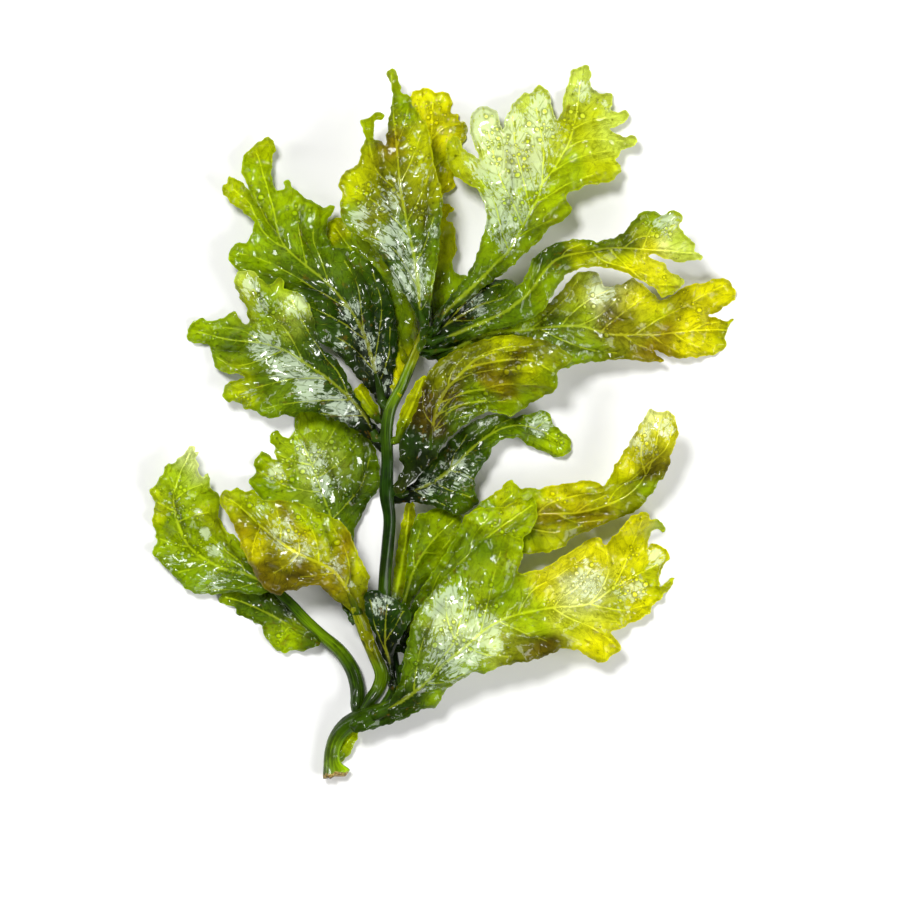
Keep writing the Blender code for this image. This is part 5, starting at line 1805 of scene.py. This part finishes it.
def build_blade(number, node, drawing):
    rng = np.random.default_rng(number)
    solid = welded(node)
    middle = height_fit(solid)
    solid_rim = outline(solid, middle)
    middle = levelled(middle, solid_rim)
    rim_points = placed(drawing["rim"]) if "rim" in drawing else solid_rim
    if "neck" in drawing:
        rim_points = necked(rim_points, placed(drawing["neck"]))
    ahead = np.roll(rim_points, -1, axis=0)
    if (rim_points[:, 0] * ahead[:, 1] - ahead[:, 0] * rim_points[:, 1]).sum() < 0:
        rim_points = rim_points[::-1]
    rim = scalloped(rim_points, rng)
    drawn = [smooth_line(placed(vein), VEIN_STEP) for vein in drawing["veins"]]
    grown = branchlets(drawn, rim, rng)
    widths = [MIDRIB_WIDTHS] + [SIDE_WIDTHS] * (len(drawn) - 1) + [BRANCHLET_WIDTHS] * len(grown)
    blisters = scattered(drawing["blisters"], rim, rng)
    flat, faces = triangulated(rim, drawn + grown, blisters)
    folded = in_folds(flat, drawing.get("folds", ()))
    found = relief(flat, rim, drawn + grown, widths, blisters, folded, middle, rng)
    _, _, marks, edge, _, swollen = found
    points, shell = layers(flat, faces, len(rim), found)
    midrib = placed(drawing["veins"][0])
    stalk_points, stalk_faces = stalk(midrib, middle, *drawing.get("stalk", STALK))
    extra = len(stalk_points)
    shell += [[k + len(points) for k in face] for face in stalk_faces]
    everywhere = np.vstack([flat, flat, stalk_points[:, :2]])
    marks = np.concatenate([marks, marks, np.zeros(extra)])
    edge = np.concatenate([edge, edge, np.full(extra, FAR_FROM_RIM)]) / MM
    swollen = np.concatenate([swollen, np.zeros(len(flat) + extra)])
    # The wet patches also say where the finish paints its sheen.
    wet = np.append(wetness_and_sheen(everywhere[:-extra]), np.zeros(extra))
    colour = painted(wandering(everywhere, rng), drawing["pans"])
    paint = np.column_stack([colour, np.ones(len(everywhere))])
    paint[: 2 * len(flat), :3] *= 1 - FOLD_SHADE * np.concatenate([folded, folded])[:, None]
    fade = np.linspace(0, 1, extra)[:, None]
    paint[-extra:, :3] *= fade
    paint[-extra:, :3] += (1 - fade) * linear(PAINTS[STALK_PAINT])
    attributes = {
        "paint": ("FLOAT_COLOR", paint),
        "vein": ("FLOAT", marks),
        "edge": ("FLOAT", edge),
        "blister": ("FLOAT", swollen),
        "wet": ("FLOAT", wet),
        "grain": ("FLOAT_VECTOR", grain_along(everywhere, drawn, number)),
    }
    slot = SLOT_OF[node]
    skin = np.vstack([points, stalk_points])
    piece = new_piece("skin_" + node, node, skin, shell, [FINISHES[slot]], attributes)
    return piece, len(blisters)


for number, (node, drawing) in enumerate(BLADES.items(), start=1):
    piece, domes = build_blade(number, node, drawing)
    print(node, "faces", len(piece.data.polygons), "blisters", domes)

# %% [markdown]
# ## The stems
#
# The tubes follow the same courses as the solids. At the foot the first rings are pushed in and out at
# random along the stem, which makes the torn edge of the cut, and a small lobe swells out beside it. The
# faces at the cut take the second material.

# %% Stem pieces
STEM_PANS = {
    "stipe_foot": [
        (328, 774, "leaf"), (346, 770, "grass"), (332, 755, "leaf"), (345, 726, "forest"),
        (372, 712, "forest"), (390, 706, "leaf"),
    ],
    "branch_left": [(353, 705, "forest"), (357, 684, "forest"), (322, 634, "leaf"), (285, 598, "forest")],
    "branch_folded": [(370, 700, "forest"), (382, 673, "leaf"), (372, 645, "olive"), (359, 616, "olive")],
    "stipe_main": [
        (392, 695, "forest"), (393, 660, "deep"), (385, 590, "forest"), (389, 530, "deep"),
        (388, 470, "deep"), (387, 435, "forest"), (400, 390, "leaf"), (420, 340, "olive"),
    ],
    "twig_right": [(398, 487, "deep"), (417, 470, "forest"), (433, 445, "leaf")],
}
CUT_REACH = 2.2 * MM
CUT_TEAR = 1.1 * MM
LOBE_RISE = 2.6 * MM
LOBE_PLACE = 1.9 * MM
LOBE_REACH = 1.5 * MM
LOBE_WIDTH = 2.5 * MM
CUT_SHOWS = 1.2 * MM
STEM_GRAIN = 14 * MM
# Strength of the bands of painted highlight.
STRIPE_SHINE = 0.3


def tear(points, line, along, rng):
    """Moves the points near the start of a tube to make a torn end with a small lobe."""
    away = line[0, :3] - line[2, :3]
    away /= np.linalg.norm(away)
    torn = rng.uniform(-1, 0.6, TUBE_SIDES)
    ring = np.tile(torn, len(line))[: len(points) - 2]
    share = smoothstep(1 - along[:-2] / CUT_REACH)
    points[:-2] += away * (CUT_TEAR * ring * share)[:, None]
    points[-2] -= away * CUT_TEAR * 0.8
    right = np.clip((points[:-2, 0] - np.repeat(line[:, 0], TUBE_SIDES)) / LOBE_WIDTH, 0, 1)
    swell = np.exp(-(((along[:-2] - LOBE_PLACE) / LOBE_REACH) ** 2))
    points[:-2, 0] += LOBE_RISE * right**2 * swell


def build_stem(number, node, line):
    rng = np.random.default_rng(100 + number)
    points, faces = tube(line, seed=number)
    travel = travelled(line[:, :3])
    along = np.append(np.repeat(travel, TUBE_SIDES), [0, travel[-1]])
    around = np.append(np.tile(np.arange(TUBE_SIDES), len(line)), [0, 0]) * 2 * math.pi / TUBE_SIDES
    cut = node == "stipe_foot"
    if cut:
        tear(points, line, along, rng)
    points[:, 2] = np.maximum(points[:, 2], 0)
    seams = np.column_stack([np.cos(around) * 4, np.sin(around) * 4, along / STEM_GRAIN + 3 * number])
    # Two bands of painted highlight that wind along the stem.
    pale = np.clip(np.sin(2 * around + 40 * along) * STRIPE_SHINE, 0, 1)
    paint = np.column_stack([painted(points[:, :2], STEM_PANS[node]), np.ones(len(points))])
    attributes = {
        "grain": ("FLOAT_VECTOR", seams),
        "pale": ("FLOAT", pale),
        "paint": ("FLOAT_COLOR", paint),
    }
    piece = new_piece("skin_" + node, node, points, faces, [STEM_FINISH, CUT_FINISH], attributes)
    if cut:
        for face in piece.data.polygons:
            face.material_index = int(max(along[v] for v in face.vertices) < CUT_SHOWS)
    return piece


for number, (node, line) in enumerate(COURSES.items(), start=1):
    piece = build_stem(number, node, line)
    print(node, "faces", len(piece.data.polygons))

# %% [markdown]
# ## Floor
#
# The sprig lies on a pale table, so its soft shadow shows and nothing competes with its greens. The floor
# is a large square just under it, with a slight unevenness of tone, as a real backdrop has.

# %% Floor
FLOOR_SIZE = 6.0
FLOOR_COLOUR = (0.80, 0.80, 0.79, 1)
FLOOR_SHADE = (0.74, 0.74, 0.74, 1)
FLOOR_DROP = 0.1 * MM


def floor_material():
    material, tree = fresh_material("pale floor")
    start = Wire(tree)
    place = start.node("ShaderNodeTexCoord", {}, {}, "Object")
    shade = noise(place, 400, detail=2)
    shades = {0: shade * 0.1, 6: FLOOR_COLOUR, 7: FLOOR_SHADE}
    colour = start.node("ShaderNodeMix", {"data_type": "RGBA"}, shades, 2)
    surface = start.node("ShaderNodeBsdfPrincipled", {}, {"Base Color": colour, "Roughness": 0.7})
    start.node("ShaderNodeOutputMaterial", {}, {"Surface": surface})
    return material


def add_floor():
    mesh = bpy.data.meshes.new("floor")
    half = FLOOR_SIZE / 2
    flat = [(-half, -half), (half, -half), (half, half), (-half, half)]
    mesh.from_pydata([(x, y, -FLOOR_DROP) for x, y in flat], [], [(0, 1, 2, 3)])
    mesh.materials.append(floor_material())
    floor = bpy.data.objects.new("floor", mesh)
    bpy.context.collection.objects.link(floor)


add_floor()
print("floor:", FLOOR_SIZE, "m wide")

# %% [markdown]
# ## Light
#
# Two round softboxes light the sprig from above. The nearer one hangs beside the camera, so blades that
# lie nearly flat mirror it as a pale veil, while sloping ones stay deep in colour. Two long lamps at the
# sides draw the thin highlights along stems and rims, and a faint white world fills the shadows.

# %% Lights
WORLD_STRENGTH = 0.15
# Each light is (name, place, (width, height), watts); they all aim at the middle of the floor.
LIGHTS = (
    ("key softbox", (-0.35, 0.55, 1.5), (0.40, 0.40), 23),
    ("right softbox", (1.1, -0.7, 1.2), (0.8, 0.8), 18),
    ("left strip", (-1.2, 0.2, 0.6), (0.15, 1.2), 6),
    ("right strip", (1.2, -0.1, 0.7), (0.15, 1.2), 6),
)


def add_light(title, place, size, power):
    """A round or long area light of size (wide, high) metres at a place, turned towards the sprig."""
    lamp = bpy.data.lights.new(title, "AREA")
    lamp.shape = "ELLIPSE"
    lamp.size, lamp.size_y = size
    lamp.energy = power
    holder = bpy.data.objects.new(title, lamp)
    holder.location = place
    holder.rotation_euler = (-Vector(place)).to_track_quat("-Z", "Y").to_euler()
    bpy.context.collection.objects.link(holder)


for light in LIGHTS:
    add_light(*light)
world = bpy.data.worlds.new("studio")
world.use_nodes = True
world.node_tree.nodes["Background"].inputs["Color"].default_value = (1, 1, 1, 1)
world.node_tree.nodes["Background"].inputs["Strength"].default_value = WORLD_STRENGTH
bpy.context.scene.world = world
bpy.context.scene.view_settings.view_transform = "Standard"

# %% [markdown]
# ## Camera
#
# The camera looks straight down from far above, so near and far parts of the sprig keep their sizes. Its
# lens is chosen so that the whole drawing of 900 by 900 units just fills the picture.

# %% Camera
CAMERA_HEIGHT = 2.5
SENSOR = 36.0

camera = bpy.data.cameras.new("camera")
camera.sensor_width = SENSOR
camera.lens = SENSOR * CAMERA_HEIGHT / (DRAWN_SIDE * UNIT)
viewer = bpy.data.objects.new("camera", camera)
middle_x, middle_y = placed((DRAWN_SIDE / 2, DRAWN_SIDE / 2))
viewer.location = (middle_x, middle_y, CAMERA_HEIGHT)
bpy.context.collection.objects.link(viewer)
bpy.context.scene.camera = viewer
print("lens", round(camera.lens, 1), "mm")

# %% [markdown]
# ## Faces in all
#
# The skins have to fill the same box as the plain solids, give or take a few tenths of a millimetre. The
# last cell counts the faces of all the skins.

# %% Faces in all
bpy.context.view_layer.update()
faces = sum(len(o.data.polygons) for o in bpy.data.objects if o.name.startswith("skin_"))
print("faces in all:", faces)
